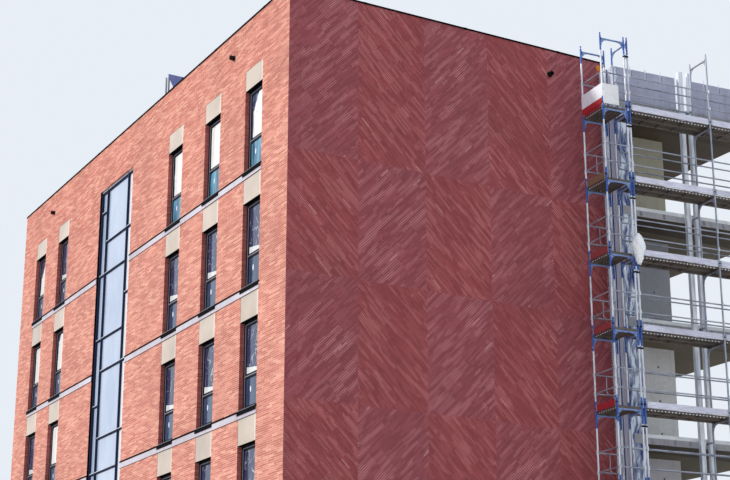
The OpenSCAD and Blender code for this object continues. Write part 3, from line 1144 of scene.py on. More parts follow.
@dataclass(frozen=True, kw_only=True)
class HoodFinish(CoatFinish):
    """Painted sheets of the roof hood and the bare steel of its posts, which stand beyond them."""

    posts_from: float
    post: Colour

    def colour(self, graph: Graph) -> Socket:
        """Gives the paint, and the bare steel of the posts."""
        return graph.mix(graph.xyz()[1] > self.posts_from, super().colour(graph), self.post)


@dataclass(frozen=True, kw_only=True)
class LiftBoardFinish(CoatFinish):
    """Painted toe boards of the end bay, one colour for each lift from the lowest up."""

    others: tuple[Colour, ...]

    def colour(self, graph: Graph) -> Socket:
        """Gives each lift's board its own colour."""
        own = graph.by_level(self.others, PLAN.lift_first, PLAN.lift_h)
        return graph.mix(0.8, super().colour(graph), own)


@dataclass(frozen=True, kw_only=True)
class BannerFinish(CoatFinish):
    """Bare white board whose lower strip is red."""

    red: Colour
    level: float

    def colour(self, graph: Graph) -> Socket:
        """Gives the white coat and the red strip below the level."""
        return graph.mix(graph.xyz()[2] < self.level, super().colour(graph), self.red)


@dataclass(frozen=True, kw_only=True)
class ZincFinish(Finish):
    """Galvanised steel with its spangle and, where asked, painted blue near each frame joint."""

    base: Colour
    dull_and_sheen: Colour
    drawn: Place = (1.0, 1.0, 1.0)
    blue: Colour | None = None
    blue_to: float = 3.3
    beyond: Colour = (0.50, 0.52, 0.56, 1.0)
    below: float = 0.36
    above: float = 0.32
    ragged: float = 0.12

    def colour(self, graph: Graph) -> Socket:
        """Gives spangle, dull patches, upright streaks of painted highlight and reflection where they are
        drawn out, and the blue painted lengths.

        Args:
            graph: The material's tree.

        Returns:
            The colour.
        """
        spangle = graph.add("TexVoronoi", {"Vector": graph.place(), "Scale": 55.0})
        tone = graph.between(graph.number(spangle, "Distance"), 0.0, 0.7, 0.94, 1.06)
        # Drawn out upright, these streaks are painted highlights and reflections; left round, they are dull
        # patches of the zinc.
        dull_and_sheen = graph.between(graph.noise(2.3, 5.0, 0.65, self.drawn), 0.45, 0.7)
        body = graph.toned(graph.mix(dull_and_sheen, self.base, self.dull_and_sheen), tone)
        if self.blue is None:
            return body
        x, _y, z = graph.xyz()
        first = PLAN.lift_first - self.below + self.ragged / 2
        spot = (graph.noise(9.0).scaled(self.ragged, z) - first) % PLAN.lift_h
        near = x < self.blue_to
        painted = (spot < self.below + self.above) * near
        body = graph.mix(near, graph.toned(body, self.beyond), body)
        chips = graph.between(graph.noise(16.0, 6.0, 0.7), 0.60, 0.68, 1.0, 0.0)
        return graph.mix(painted * chips, body, self.blue)

    def relief(self, graph: Graph) -> Socket:
        """Gives the uneven zinc skin."""
        return graph.bump(graph.noise(45.0), 0.15, 0.002)


@dataclass(frozen=True, kw_only=True)
class GlassFinish(Finish):
    """Reflecting glazing, paler in the narrow lights next to the near jamb."""

    deep: Colour
    sheen: Colour
    near: Colour

    def colour(self, graph: Graph) -> Socket:
        """Gives the glass with soft clouds and the pale near lights.

        Args:
            graph: The material's tree.

        Returns:
            The colour.
        """
        soft = graph.between(graph.noise(0.9, drawn=(1.0, 1.0, 0.5)), 0.35, 0.65)
        glass = graph.mix(soft, self.deep, self.sheen)
        near = graph.xyz()[1] < PLAN.depth / 2 - PLAN.stair_x - PLAN.stair_w + 0.5
        return graph.mix(near, glass, self.near)

    def relief(self, graph: Graph) -> Socket:
        """Gives the slight waves of a pane."""
        return graph.bump(graph.noise(0.7, 1.0), 0.05, 0.02)

    def constants(self) -> dict[str, float]:
        """Adds a clear gloss coat."""
        coat = {"Coat Weight": 0.6, "Coat Roughness": 0.03, "Transmission Weight": 0.0, "IOR": 1.5}
        return super().constants() | coat


@dataclass(frozen=True, kw_only=True)
class PaneFinish(GlassFinish):
    """Window panes: blue-green glass, with the protective film still on most upper lights."""

    dusk: Colour
    slate: Colour
    film: Colour
    crumple_shade: Colour
    bare: float = 0.28
    handle: tuple[Span, Span] = ((-0.14, 0.52), (0.035, 0.075))

    def spot(self, graph: Graph) -> tuple[Number, Number, Number, Number]:
        """Finds where a point lies in its window.

        Args:
            graph: The material's tree.

        Returns:
            The distance from the window's middle towards its right side, the height over the
            window's foot, and two random numbers of the window; the second is pushed low on the near
            windows below the top storey, which gives more of them the dark bare glass as painted shade.
        """
        x, y, z = graph.xyz()
        out_x, out_y, _out_z = graph.facing()
        back, right = out_y > 0.5, out_x > 0.5
        front_along = PLAN.depth / 2 - y
        along = graph.choose(back, front_along, PLAN.width / 2 - x)
        along = graph.choose(right, along, y + PLAN.depth / 2)
        front, rear, side = COLUMNS.values()
        far = front_along < (front[1] + front[2]) / 2
        first = graph.choose(back, graph.choose(far, front[2], front[0]), rear[0])
        first = graph.choose(right, first, side[0])
        wide = rear[1] - rear[0]
        other = back.most(right)
        pitch = graph.choose(other, graph.choose(far, wide, front[1] - front[0]), wide)
        steps = (along - first) / pitch
        index = (steps + 0.5).floor()
        level = (z - PLAN.foot(0)) / PLAN.storey
        storey = level.floor()
        key = index + graph.math("ROUND", first)
        near = 1.0 - other.most(far)
        # Painted shade: near windows below the top storey mostly get the dark bare glass.
        low = near * (storey < PLAN.storeys - 1.5)
        second = graph.dice(key, storey, 5.0) * graph.choose(low, 1.0, 0.33)
        across, height = (steps - index) * pitch, (level - storey) * PLAN.storey
        return across, height, graph.dice(key, storey, 2.0), second

    def creases(self, graph: Graph, scale: float, width: float) -> Number:
        """Gives long bent lines, as in taut creased film.

        Args:
            graph: The material's tree.
            scale: How close the lines lie.
            width: How wide they are.

        Returns:
            1 on the lines, 0 beside them.
        """
        sway = graph.add("TexNoise", {"Vector": graph.place(), "Scale": 2.2}).outputs["Color"]
        bent = graph.move("ADD", graph.place(), graph.move("MULTIPLY", sway, (0.5, 0.5, 0.5)))
        feeds = {"Vector": graph.move("MULTIPLY", bent, (1.0, 1.0, 0.55)), "Scale": scale}
        cells = graph.add("TexVoronoi", feeds, feature="DISTANCE_TO_EDGE")
        return graph.between(graph.number(cells, "Distance"), 0.0, width, 1.0, 0.0)

    def film_mask(self, graph: Graph) -> Number:
        """Gives the film over the upper lights: cut slantwise at the left, worn through in spots.

        Args:
            graph: The material's tree.

        Returns:
            1 on the film, 0 beside it.
        """
        across, height, luck, second = self.spot(graph)
        head = PLAN.transom + PLAN.frame_face
        wobble = (graph.noise(2.4) - 0.5) * 0.45
        lean = (height - head).scaled(0.72, wobble - across)
        sheet = graph.between(graph.between(luck, 0.0, 0.6, 0.70, 1.45) - lean, 0.0, 0.035)
        loose = wobble.scaled(0.35, across) - graph.between(second, 0.25, 1.0, -0.42, -0.32)
        sheet = sheet * graph.between(loose, 0.0, 0.03)
        edge = graph.between(across, 0.05, 0.38, -0.16, 0.12)
        torn = graph.between(graph.noise(2.4, 5.0, 0.7, (6.0, 6.0, 1.8)) + edge, 0.52, 0.60)
        torn = torn.most(across.scaled(0.14, height) < head + 0.13)
        sheet = graph.choose(second < self.bare, sheet, torn * 0.8)
        spots = graph.between(graph.noise(7.5, 2.0), 0.69, 0.73, 1.0, 0.25)
        return sheet * spots * (height > PLAN.transom + 0.05)

    def colour(self, graph: Graph) -> Socket:
        """Gives the glass, a pale strip and a small white spot on it, and the film with painted shade in its
        crumples.

        Args:
            graph: The material's tree.

        Returns:
            The colour.
        """
        across, height, _luck, second = self.spot(graph)
        soft = graph.between(graph.noise(0.9, drawn=(5.0, 5.0, 0.8)), 0.38, 0.62)
        glass = graph.mix(soft, self.deep, self.sheen)
        # Bare panes take the dark dusk glass; on the near low windows it is painted shade.
        dusky = graph.between(second, self.bare, self.bare + 0.04, 0.85, 0.0)
        glass = graph.mix(dusky, glass, self.dusk)
        far = (graph.xyz()[1] > 1.5) * (graph.facing()[0] < -0.5)
        glass = graph.mix(far * 0.8, glass, self.slate)
        low = height < PLAN.transom + 0.05
        glass = graph.mix(low, graph.mix(0.85, glass, self.dusk), glass)
        (middle, level), (half_w, half_h) = self.handle
        from_handle = ((across - middle) / half_w) ** 2.0 + ((height - level) / half_h) ** 2.0
        marks = (graph.between(across, 0.325, 0.345) * 0.55).most(from_handle < 1.0)
        glass = graph.mix(marks * low, glass, self.near)
        broken = graph.between(graph.noise(2.0, drawn=(3.0, 3.0, 1.6)), 0.46, 0.58)
        weight = broken * graph.between(across, -0.25, 0.30, 0.35, 0.95)
        line = self.creases(graph, 3.4, 0.05) * weight
        glass = graph.mix(line * (1.0 - low), glass, self.near)
        # Painted shade: grey mottles over the film.
        shade = graph.between(graph.noise(1.5, drawn=(4.0, 4.0, 1.0)), 0.5, 0.75)
        return graph.mix(self.film_mask(graph), glass, graph.mix(shade * 0.6, self.film, self.crumple_shade))

    def relief(self, graph: Graph) -> Socket:
        """Gives the creases of the film."""
        return graph.bump(self.creases(graph, 2.6, 0.09), 0.2, 0.005)


@dataclass(frozen=True, kw_only=True)
class TimberFinish(Finish):
    """Sawn, weathered board with its grain along one axis."""

    base: Colour
    dark: Colour
    stretch: Place = (0.6, 12.0, 12.0)

    def colour(self, graph: Graph) -> Socket:
        """Gives the streaked colour of the boards."""
        rings = graph.between(graph.noise(3.0, 6.0, 0.65, self.stretch), 0.35, 0.68)
        return graph.soiled(graph.mix(rings, self.dark, self.base), tint(92, 88, 84), 0.35, 0.2)

    def relief(self, graph: Graph) -> Socket:
        """Gives the raised grain."""
        return graph.bump(graph.noise(6.0, 5.0, drawn=self.stretch), 0.3, 0.004)


@dataclass(frozen=True, kw_only=True)
class DeckFinish(Finish):
    """Punched steel deck: rows of small holes in its top."""

    base: Colour
    dust: Colour
    dot: Colour
    pitch: float = 0.105
    reach: float = 0.014

    def dots(self, graph: Graph) -> Number:
        """Gives 1 in the punched dots, in the frame of the turned wing.

        Args:
            graph: The material's tree.

        Returns:
            1 in the dots of the upper side, 0 elsewhere.
        """
        feeds = {"Vector": graph.place(), "Angle": math.radians(PLAN.wing_turn)}
        turn = graph.add("VectorRotate", feeds, rotation_type="Z_AXIS")
        *level, z = graph.split(turn.outputs[0])
        along, across = (
            abs((graph.math("FRACT", part / self.pitch) - 0.5) * self.pitch) for part in level
        )
        over = (z - PLAN.lift_first) % PLAN.lift_h > 0.06
        return (along.most(across) < self.reach) * over

    def colour(self, graph: Graph) -> Socket:
        """Gives dusty steel with dark holes."""
        dusty = graph.between(graph.noise(1.8, 6.0, 0.7), 0.35, 0.65)
        return graph.mix(self.dots(graph), graph.mix(dusty, self.base, self.dust), self.dot)

    def relief(self, graph: Graph) -> Socket:
        """Raises the rims of the punched dots."""
        return graph.bump(self.dots(graph), 0.4, 0.004)


COATS: tuple[tuple, ...] = (
    # name, roughness, metal share, shine, coat, worn coat, wear, scale of the worn spots
    # coping_metal: black coat of coping, sills and collars, also laid as painted shade on soffits, stair
    # jambs and under the bands.
    ("coping_metal", 0.7, 0.0, 0.04, (8, 6, 9), (30, 27, 31), 0.05, 6.0),
    ("panel_metal", 0.45, 0.2, 0.5, (204, 188, 174), (180, 166, 150), 0.08, 2.0),
    ("window_frame", 0.45, 0.0, 0.12, (20, 19, 26), (54, 52, 60), 0.05, 6.0),
    ("stair_frame", 0.45, 0.0, 0.12, (20, 34, 62), (58, 70, 96), 0.05, 6.0),
    ("spout_metal", 0.5, 0.0, 0.2, (14, 12, 14), (50, 46, 48), 0.05, 6.0),
    # blue_paint: the large share of pale worn spots is partly wear and partly painted highlight of the
    # frames' lit top edges.
    ("blue_paint", 0.45, 0.1, 0.5, (60, 108, 184), (150, 170, 206), 0.26, 14.0),
    ("board_white", 0.55, 0.0, 0.5, (248, 244, 242), (188, 186, 182), 0.1, 5.0),
    # pale_sheen: pale grey of the painted sky reflection on the sashes and the painted highlight along the
    # sills.
    ("pale_sheen", 0.4, 0.1, 0.5, (142, 146, 160), (120, 120, 128), 0.06, 6.0),
    ("stair_seal", 0.5, 0.0, 0.1, (62, 64, 86), (84, 86, 106), 0.05, 6.0),
    # stud_shade: dark blue, painted shade of the gaps between the corner studs.
    ("stud_shade", 0.6, 0.0, 0.1, (34, 42, 80), (70, 78, 112), 0.06, 6.0),
    ("pale_line", 0.4, 0.0, 0.5, (226, 232, 242), (180, 184, 192), 0.05, 6.0),
    # panel_edge_highlight: paler cream, painted highlight on the trays' folded strips.
    ("panel_edge_highlight", 0.4, 0.2, 0.5, (224, 212, 198), (190, 178, 164), 0.06, 2.0),
    # edge_highlight: full white, painted highlight on the slab edges.
    ("edge_highlight", 0.6, 0.0, 0.5, (252, 252, 252), (206, 204, 202), 0.1, 4.0),
    ("foam_orange", 0.8, 0.0, 0.5, (238, 146, 50), (196, 108, 40), 0.12, 9.0),
    ("wrap_film", 0.3, 0.0, 0.5, (255, 255, 255), (206, 212, 226), 0.14, 11.0),
)


def coat(
    name: str, rough: float, metal: float, shine: float, base: tuple, worn: tuple, wear: float, scale: float
) -> CoatFinish:
    """Makes a plain coat from one row of the table."""
    colours = {"base": tint(*base), "worn": tint(*worn)}
    return CoatFinish(name, rough, metal, shine, wear=wear, scale=scale, **colours)


def cast(name: str, rough: float, *colours: tuple, **more: object) -> CastFinish:
    """Makes a cast finish from its base, pale and stain colours."""
    base, pale, stain = (tint(*shade) for shade in colours)
    return CastFinish(name, rough, base=base, pale=pale, stain=stain, **more)


class Palette:
    """Builds each finish once, at its first use."""

    finishes: tuple[Finish, ...] = (
        *(coat(*row) for row in COATS),
        BrickFinish(
            "facing_brick",
            0.86,
            shades=(tint(194, 111, 94), tint(204, 122, 104), tint(214, 132, 113), tint(226, 149, 128)),
            joint=tint(234, 198, 184),
            fleck=tint(240, 173, 149),
            fleck_share=0.13,
            corner=tint(142, 74, 80),
        ),
        # The gable is laid in the window front's brick; its darker shades are painted shade, as the gable
        # stands out of the key light.
        BrickFinish(
            "gable_brick",
            0.86,
            lay=Lay.SLANTED,
            shades=(tint(151, 67, 70), tint(159, 72, 74), tint(165, 76, 79), tint(176, 86, 88)),
            joint=tint(149, 81, 85),
            fleck=tint(204, 131, 130),
            fleck_share=0.006,
            streaks=0.46,
        ),
        cast(
            "concrete", 0.85, (178, 175, 170), (205, 202, 196), (122, 116, 108), board_h=0.62, board_l=2.48,
            under=tint(122, 108, 84),
        ),
        cast(
            "slab_concrete", 0.85, (176, 172, 176), (204, 200, 204), (108, 102, 102), dirt=0.5,
            under=tint(84, 70, 50),
        ),
        cast("blockwork", 0.9, (176, 176, 196), (198, 198, 218), (120, 118, 130), dirt=0.45),
        cast("band_stone", 0.75, (196, 187, 198), (224, 217, 226), (140, 130, 138), dirt=0.45),
        cast(
            "roofing", 0.8, (92, 92, 96), (122, 122, 126), (66, 66, 68), board_h=1.05, board_l=5.0,
            under=tint(96, 80, 58),
        ),
        cast("infill", 0.9, (96, 92, 88), (124, 120, 116), (70, 66, 62)),
        StoreyLightCastFinish(
            "wall_concrete",
            0.85,
            base=tint(250, 247, 240),
            pale=tint(255, 254, 250),
            stain=tint(184, 177, 166),
            # Painted light and shade of each storey's cross walls, from the lowest up.
            tones=(
                tint(240, 232, 220), tint(240, 232, 220), tint(242, 238, 246),
                tint(255, 253, 255), tint(188, 188, 199), tint(212, 206, 186),
            ),
        ),
        HoodFinish(
            "hood_metal", 0.4, 0.2, base=tint(36, 46, 118), worn=tint(84, 92, 146), wear=0.08,
            posts_from=-1.456, post=tint(196, 198, 206),
        ),
        FoilFinish(
            "membrane", 0.35, 0.1, deep=tint(26, 54, 124), bright=tint(236, 244, 255),
            side=tint(212, 222, 244),
        ),
        BannerFinish(
            "banner", 0.5, base=tint(236, 238, 246), worn=tint(190, 190, 198), wear=0.1, scale=5.0,
            red=tint(176, 40, 48), level=18.03,
        ),
        LiftBoardFinish(
            "red_board", 0.55, base=tint(150, 60, 64), worn=tint(110, 60, 60), wear=0.14,
            others=(
                tint(168, 52, 60), tint(150, 60, 66), tint(176, 40, 56), tint(140, 74, 70), tint(180, 34, 52),
                tint(156, 62, 68), tint(152, 66, 70), tint(128, 112, 84), tint(180, 34, 52),
            ),
        ),
        # galvanised: its upright pale and blue-grey streaks are painted highlights and reflections on posts
        # and studs.
        ZincFinish(
            "galvanised", 0.4, 0.1, base=tint(252, 253, 255), dull_and_sheen=tint(166, 176, 206),
            drawn=(7.0, 7.0, 0.3),
        ),
        ZincFinish(
            "tube_steel", 0.38, 0.3, base=tint(224, 227, 234), dull_and_sheen=tint(178, 182, 194),
            blue=tint(46, 92, 172),
        ),
        ZincFinish("rail_steel", 0.42, 0.3, base=tint(166, 168, 180), dull_and_sheen=tint(116, 118, 132)),
        PaneFinish(
            "window_glass", 0.10, deep=tint(26, 78, 112), sheen=tint(96, 168, 196), near=tint(226, 234, 242),
            dusk=tint(34, 46, 84), slate=tint(74, 80, 104), film=tint(250, 250, 246),
            crumple_shade=tint(206, 212, 220),
        ),
        GlassFinish(
            "stair_glass", 0.08, deep=tint(170, 184, 210), sheen=tint(194, 205, 225),
            near=tint(236, 239, 246),
        ),
        TimberFinish("timber", 0.85, base=tint(168, 146, 118), dark=tint(118, 98, 78)),
        TimberFinish("toe_board", 0.8, base=tint(246, 243, 255), dark=tint(208, 203, 220)),
        DeckFinish(
            "deck_steel", 0.6, 0.2, base=tint(84, 76, 72), dust=tint(114, 100, 86),
            dot=tint(36, 33, 33),
        ),
    )

    def __init__(self) -> None:
        """Starts with nothing built."""
        self.plans = {finish.name: finish for finish in self.finishes}
        self.built: dict[str, bpy.types.Material] = {}

    def __getitem__(self, name: str) -> bpy.types.Material:
        """Gives a material, building it at first use.

        Args:
            name: The name of its finish.

        Returns:
            The material.
        """
        if name not in self.built:
            self.built[name] = self.plans[name].build()
        return self.built[name]


FINISH_NODES: dict[str, str] = {
    "concrete": "ground_slab floor_slab_1 floor_slab_2 floor_slab_3 floor_slab_4 floor_slab_5",
    "roofing": "roof_slab",
    "slab_concrete": "wing_slabs",
    "facing_brick": "left_wall_piers left_wall_beams back_wall_piers back_wall_beams "
    "right_wall_piers right_wall_beams",
    "gable_brick": "gable_wall",
    "infill": "lintels",
    "coping_metal": "coping window_sills",
    "band_stone": "string_bands",
    "panel_metal": "head_panels",
    "window_frame": "left_window_frames rear_window_frames",
    "window_glass": "left_window_glass rear_window_glass",
    "stair_frame": "stair_glazing_frame",
    "stair_glass": "stair_glazing_glass",
    "spout_metal": "overflow_spouts",
    "wall_concrete": "concrete_walls",
    "blockwork": "block_parapet",
    "galvanised": "steel_posts corner_studs",
    "membrane": "membrane_boards",
    "timber": "sole_boards",
    "tube_steel": "scaffold_standards",
    "blue_paint": "scaffold_transoms scaffold_brackets",
    "deck_steel": "scaffold_decks",
    "rail_steel": "scaffold_guard_rails scaffold_ties",
    "toe_board": "scaffold_toe_boards",
    "board_white": "end_boards",
    "wrap_film": "wrapped_bundle",
    "hood_metal": "roof_hood",
}


def dress_nodes(nodes: dict[str, Piece], palette: Palette) -> None:
    """Gives every CAD node its finish.

    Args:
        nodes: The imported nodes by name.
        palette: The finishes.
    """
    finish_of = {node: finish for finish, names in FINISH_NODES.items() for node in names.split()}
    for name, node in nodes.items():
        material = palette[finish_of[name]]
        if not node.data.materials:
            node.data.materials.append(material)
        for index in range(len(node.data.materials)):
            node.data.materials[index] = material


@dataclass
class Assembly:
    """A sub-assembly, which models its pieces in the frame of a side and hands them over."""

    palette: Palette
    side: ClassVar[Side | None] = None

    def deliver(
        self,
        piece: Piece,
        name: str,
        finish: str,
        slot: str = "",
        stands_for: Sequence[str] = (),
        side: Side | None = None,
    ) -> Piece:
        """Names, places and dresses a finished piece and lets it ride on the block.

        Args:
            piece: The modelled piece.
            name: Its name in the scene.
            finish: The name of its finish.
            slot: The record's slot for it, where that isn't the finish's name; it is not used.
            stands_for: CAD nodes that it replaces.
            side: The side whose frame it was modelled in, where that isn't the assembly's.

        Returns:
            The same piece.
        """
        carrier = side or self.side
        if carrier is not None:
            piece.data.transform(carrier.matrix)
        piece.name = name
        piece.data.name = name
        piece.data.materials.clear()
        piece.data.materials.append(self.palette[finish])
        slot = slot or finish
        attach(piece, "root")
        if stands_for:
            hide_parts(*stands_for)
        LOG.info("%s: %d faces", name, len(piece.data.polygons))
        return piece


@dataclass
class BrickLeaf(Assembly):
    """Bricks of one outer side as real blocks with open joints, cut to the wall's outline."""

    proud: float = 0.004
    bedded: float = 0.002

    def bricks(self, across: Span, up: Span) -> Piece:
        """Lays bricks in running bond over a range.

        Args:
            across: The range along the courses; it starts and ends on whole bricks.
            up: The range across the courses; it starts and ends on whole pairs of courses.

        Returns:
            The laid bricks as one piece, facing -Y.
        """
        half = JOINT / 2
        low = (across[0] + half, -self.proud, up[0] + half)
        first = Bench.box(low, (across[0] + BRICK_L - half, self.bedded, up[0] + COURSE - half))
        pair = Bench.join([first, Bench.copy(first, shift(x=-BRICK_L / 2, z=COURSE))])
        Bench.row(pair, round((across[1] - across[0]) / BRICK_L) + 1, (BRICK_L, 0, 0))
        return Bench.row(pair, round((up[1] - up[0]) / PAIR), (0, 0, PAIR))

    def field(self, low: Span, high: Span, phase: float = 0.0, degrees: float = 0.0) -> Piece:
        """Lays one rectangle of the wall.

        Args:
            low: Its lowest corner along the wall and in height.
            high: Its highest corner.
            phase: Where a whole brick starts in the even courses.
            degrees: How far the courses are turned.

        Returns:
            The bricks of the rectangle.
        """
        corners = [(x, z) for x in (low[0], high[0]) for z in (low[1], high[1])]
        turn = turned(degrees, "Y")
        if degrees:
            spots = [turn.inverted() @ Vector((x, 0, z)) for x, z in corners]
            corners = [(spot.x, spot.z) for spot in spots]
        along, height = zip(*corners)
        across = whole(min(along), max(along), BRICK_L, phase)
        leaf = self.bricks(across, whole(min(height), max(height), PAIR))
        leaf.data.transform(turn)
        Bench.crop(leaf, 0, low[0], high[0])
        return Bench.crop(leaf, 2, low[1], high[1])


@dataclass
class WindowFrontBricks(BrickLeaf):
    """The level brick leaf of the window front, in three pieces."""

    phase: float = 0.15
    side = Side.WINDOW_FRONT

    def build(self) -> None:
        """Lays the piers, the base and the top and dresses them."""
        half = PLAN.window_w / 2
        start, end = -self.proud, PLAN.depth + self.proud
        holes = [(c - half, c + half) for c in COLUMNS[self.side]]
        holes = sorted([*holes, (PLAN.stair_x, PLAN.stair_x + PLAN.stair_w)])
        piers = zip([start] + [hole[1] for hole in holes], [hole[0] for hole in holes] + [end])
        fields = [self.field((a, PLAN.base_top), (b, PLAN.beam), self.phase) for a, b in piers]
        edges = ((PLAN.beam, PLAN.wall_top), (0.0, PLAN.base_top))
        top = [self.field((start, foot), (end, head), self.phase) for foot, head in edges]
        for name, parts in (("far", fields[:3]), ("near", fields[3:]), ("top", top)):
            self.deliver(Bench.join(parts), "window_front_bricks_" + name, "facing_brick", "brick")


@dataclass
class GableBricks(BrickLeaf):
    """The gable's slanted brick fields, which change direction from one to the next."""

    columns: int = 5
    rising: float = -45.0
    falling: float = -135.0
    side = Side.GABLE

    def build(self) -> None:
        """Lays all fields and dresses them."""
        fields = []
        for column in range(self.columns):
            left = column * FIELD_W if column else self.bedded
            right = PLAN.gable if column == self.columns - 1 else (column + 1) * FIELD_W
            for row in range(PLAN.storeys):
                foot = FIELD_Z + row * PLAN.storey if row else 0.0
                top = FIELD_Z + (row + 1) * PLAN.storey if row < PLAN.storeys - 1 else PLAN.wall_top
                degrees = self.rising if (column + row) % 2 else self.falling
                fields.append(self.field((left, foot), (right, top), degrees=degrees))
        self.deliver(Bench.join(fields), "gable_bricks", "gable_brick")


@dataclass
class RearCourses(BrickLeaf):
    """Back and right wall: whole courses with real bed joints; upright joints are in the finish."""

    spans: tuple[tuple[Side, float, float], ...] = ((Side.BACK, 0.002, 14.998), (Side.RIGHT, 4.6, 20.698))

    def stretch(self, across: Span, up: Span) -> Piece:
        """Stacks courses over one rectangle.

        Args:
            across: Start and end along the wall.
            up: Foot and top.

        Returns:
            The stack, cut at its foot and top.
        """
        half = JOINT / 2
        foot, _top = whole(*up, COURSE)
        course = Bench.box(
            (across[0], -self.proud, foot + half), (across[1], self.bedded, foot + COURSE - half)
        )
        stack = Bench.row(course, math.ceil((up[1] - foot) / COURSE), (0, 0, COURSE))
        return Bench.crop(stack, 2, *up)

    def build(self) -> None:
        """Stacks the courses of both walls and dresses them."""
        half = PLAN.window_w / 2
        for side, start, end in self.spans:
            starts = [start] + [c + half for c in COLUMNS[side]]
            ends = [c - half for c in COLUMNS[side]] + [end]
            parts = [self.stretch(pier, (PLAN.base_top, PLAN.beam)) for pier in zip(starts, ends)]
            for up in ((PLAN.beam, PLAN.wall_top), (0.0, PLAN.base_top)):
                parts.append(self.stretch((start, end), up))
            name = side.name.lower() + "_courses"
            self.deliver(Bench.join(parts), name, "facing_brick", "brick", side=side)


@dataclass
class AtWindows(Assembly):
    """A sub-assembly whose models are repeated at every window of one or more sides."""

    @staticmethod
    def places(side: Side, first: int = 0, last: int = PLAN.storeys) -> list[Matrix]:
        """Gives the place of each window's foot middle on a side, in the part's frame.

        Args:
            side: The side.
            first: Its lowest storey that counts.
            last: The storey above the highest that counts.

        Returns:
            The places, column by column.
        """
        storeys = range(first, last)
        return [side.matrix @ shift(x=c, z=PLAN.foot(k)) for c in COLUMNS[side] for k in storeys]

    def spread(self, model: Piece, sides: Sequence[Side], name: str, *dress: object) -> None:
        """Repeats a model at all windows and delivers it as one piece.

        Args:
            model: The model, with the window's foot middle at the origin.
            sides: The sides that carry it.
            name: The piece's name.
            dress: Its finish, slot and the nodes that it replaces, as deliver takes them.
        """
        places = [place for side in sides for place in self.places(side)]
        self.deliver(Bench.repeat(model, places), name, *dress)


@dataclass
class Windows(AtWindows):
    """Fixed frame, a sash set back in it with its transom, glazing beads and pale lines."""

    bead: float = 0.012
    line: float = 0.020
    edge: float = 0.003

    def frame(self) -> Piece:
        """Models one fixed frame with its sash, transom and beads.

        Returns:
            The frame.
        """
        half, front, back = PLAN.window_w / 2, PLAN.reveal, PLAN.reveal + PLAN.frame_d
        outer, face, low, high = PLAN.frame_outer, PLAN.frame_face, PLAN.transom, PLAN.window_h
        light, set_back = half - face, PLAN.reveal + PLAN.sash_back
        near, far = (-half + outer, set_back, outer), (half - outer, back - 0.002, high - outer)
        parts = [
            Bench.ring((-half, front, 0), (half, back, high), outer),
            Bench.ring(near, far, face - outer),
            Bench.box((-light - 0.001, set_back, low), (light + 0.001, back - 0.003, low + face)),
        ]
        for foot, top in ((face, low), (low + face, high - face)):
            parts.append(Bench.ring((-light, set_back + 0.008, foot), (light, back - 0.004, top), self.bead))
        return Bench.bevel(Bench.join(parts), self.edge)

    def lines(self) -> Piece:
        """Models the pale ring on the sash's face, a painted reflection of the sky, and the pale strip on the
        transom.

        Returns:
            Both as one piece.
        """
        outer, low = PLAN.frame_outer, PLAN.transom
        edge, level = PLAN.window_w / 2 - outer, PLAN.reveal + PLAN.sash_back
        y = (level - 0.006, level + 0.003)
        sash_sheen = Bench.ring((-edge, y[0], outer), (edge, y[1], PLAN.window_h - outer), self.line)
        strip = Bench.box((-edge + 0.03, y[0] - 0.004, low + 0.046), (edge - 0.03, y[1], low + 0.068))
        return Bench.bevel(Bench.join([sash_sheen, strip]), self.edge / 2)

    def build(self) -> None:
        """Puts windows on all three sides."""
        for sides, name in ((FRONT, "left"), (REAR, "rear")):
            replaced, frame_name = [name + "_window_frames"], name + "_detailed_window_frames"
            self.spread(self.frame(), sides, frame_name, "window_frame", "", replaced)
            # The pale ring on each sash is painted reflection.
            self.spread(self.lines(), sides, name + "_window_pale_lines", "pale_sheen", "window_frame")


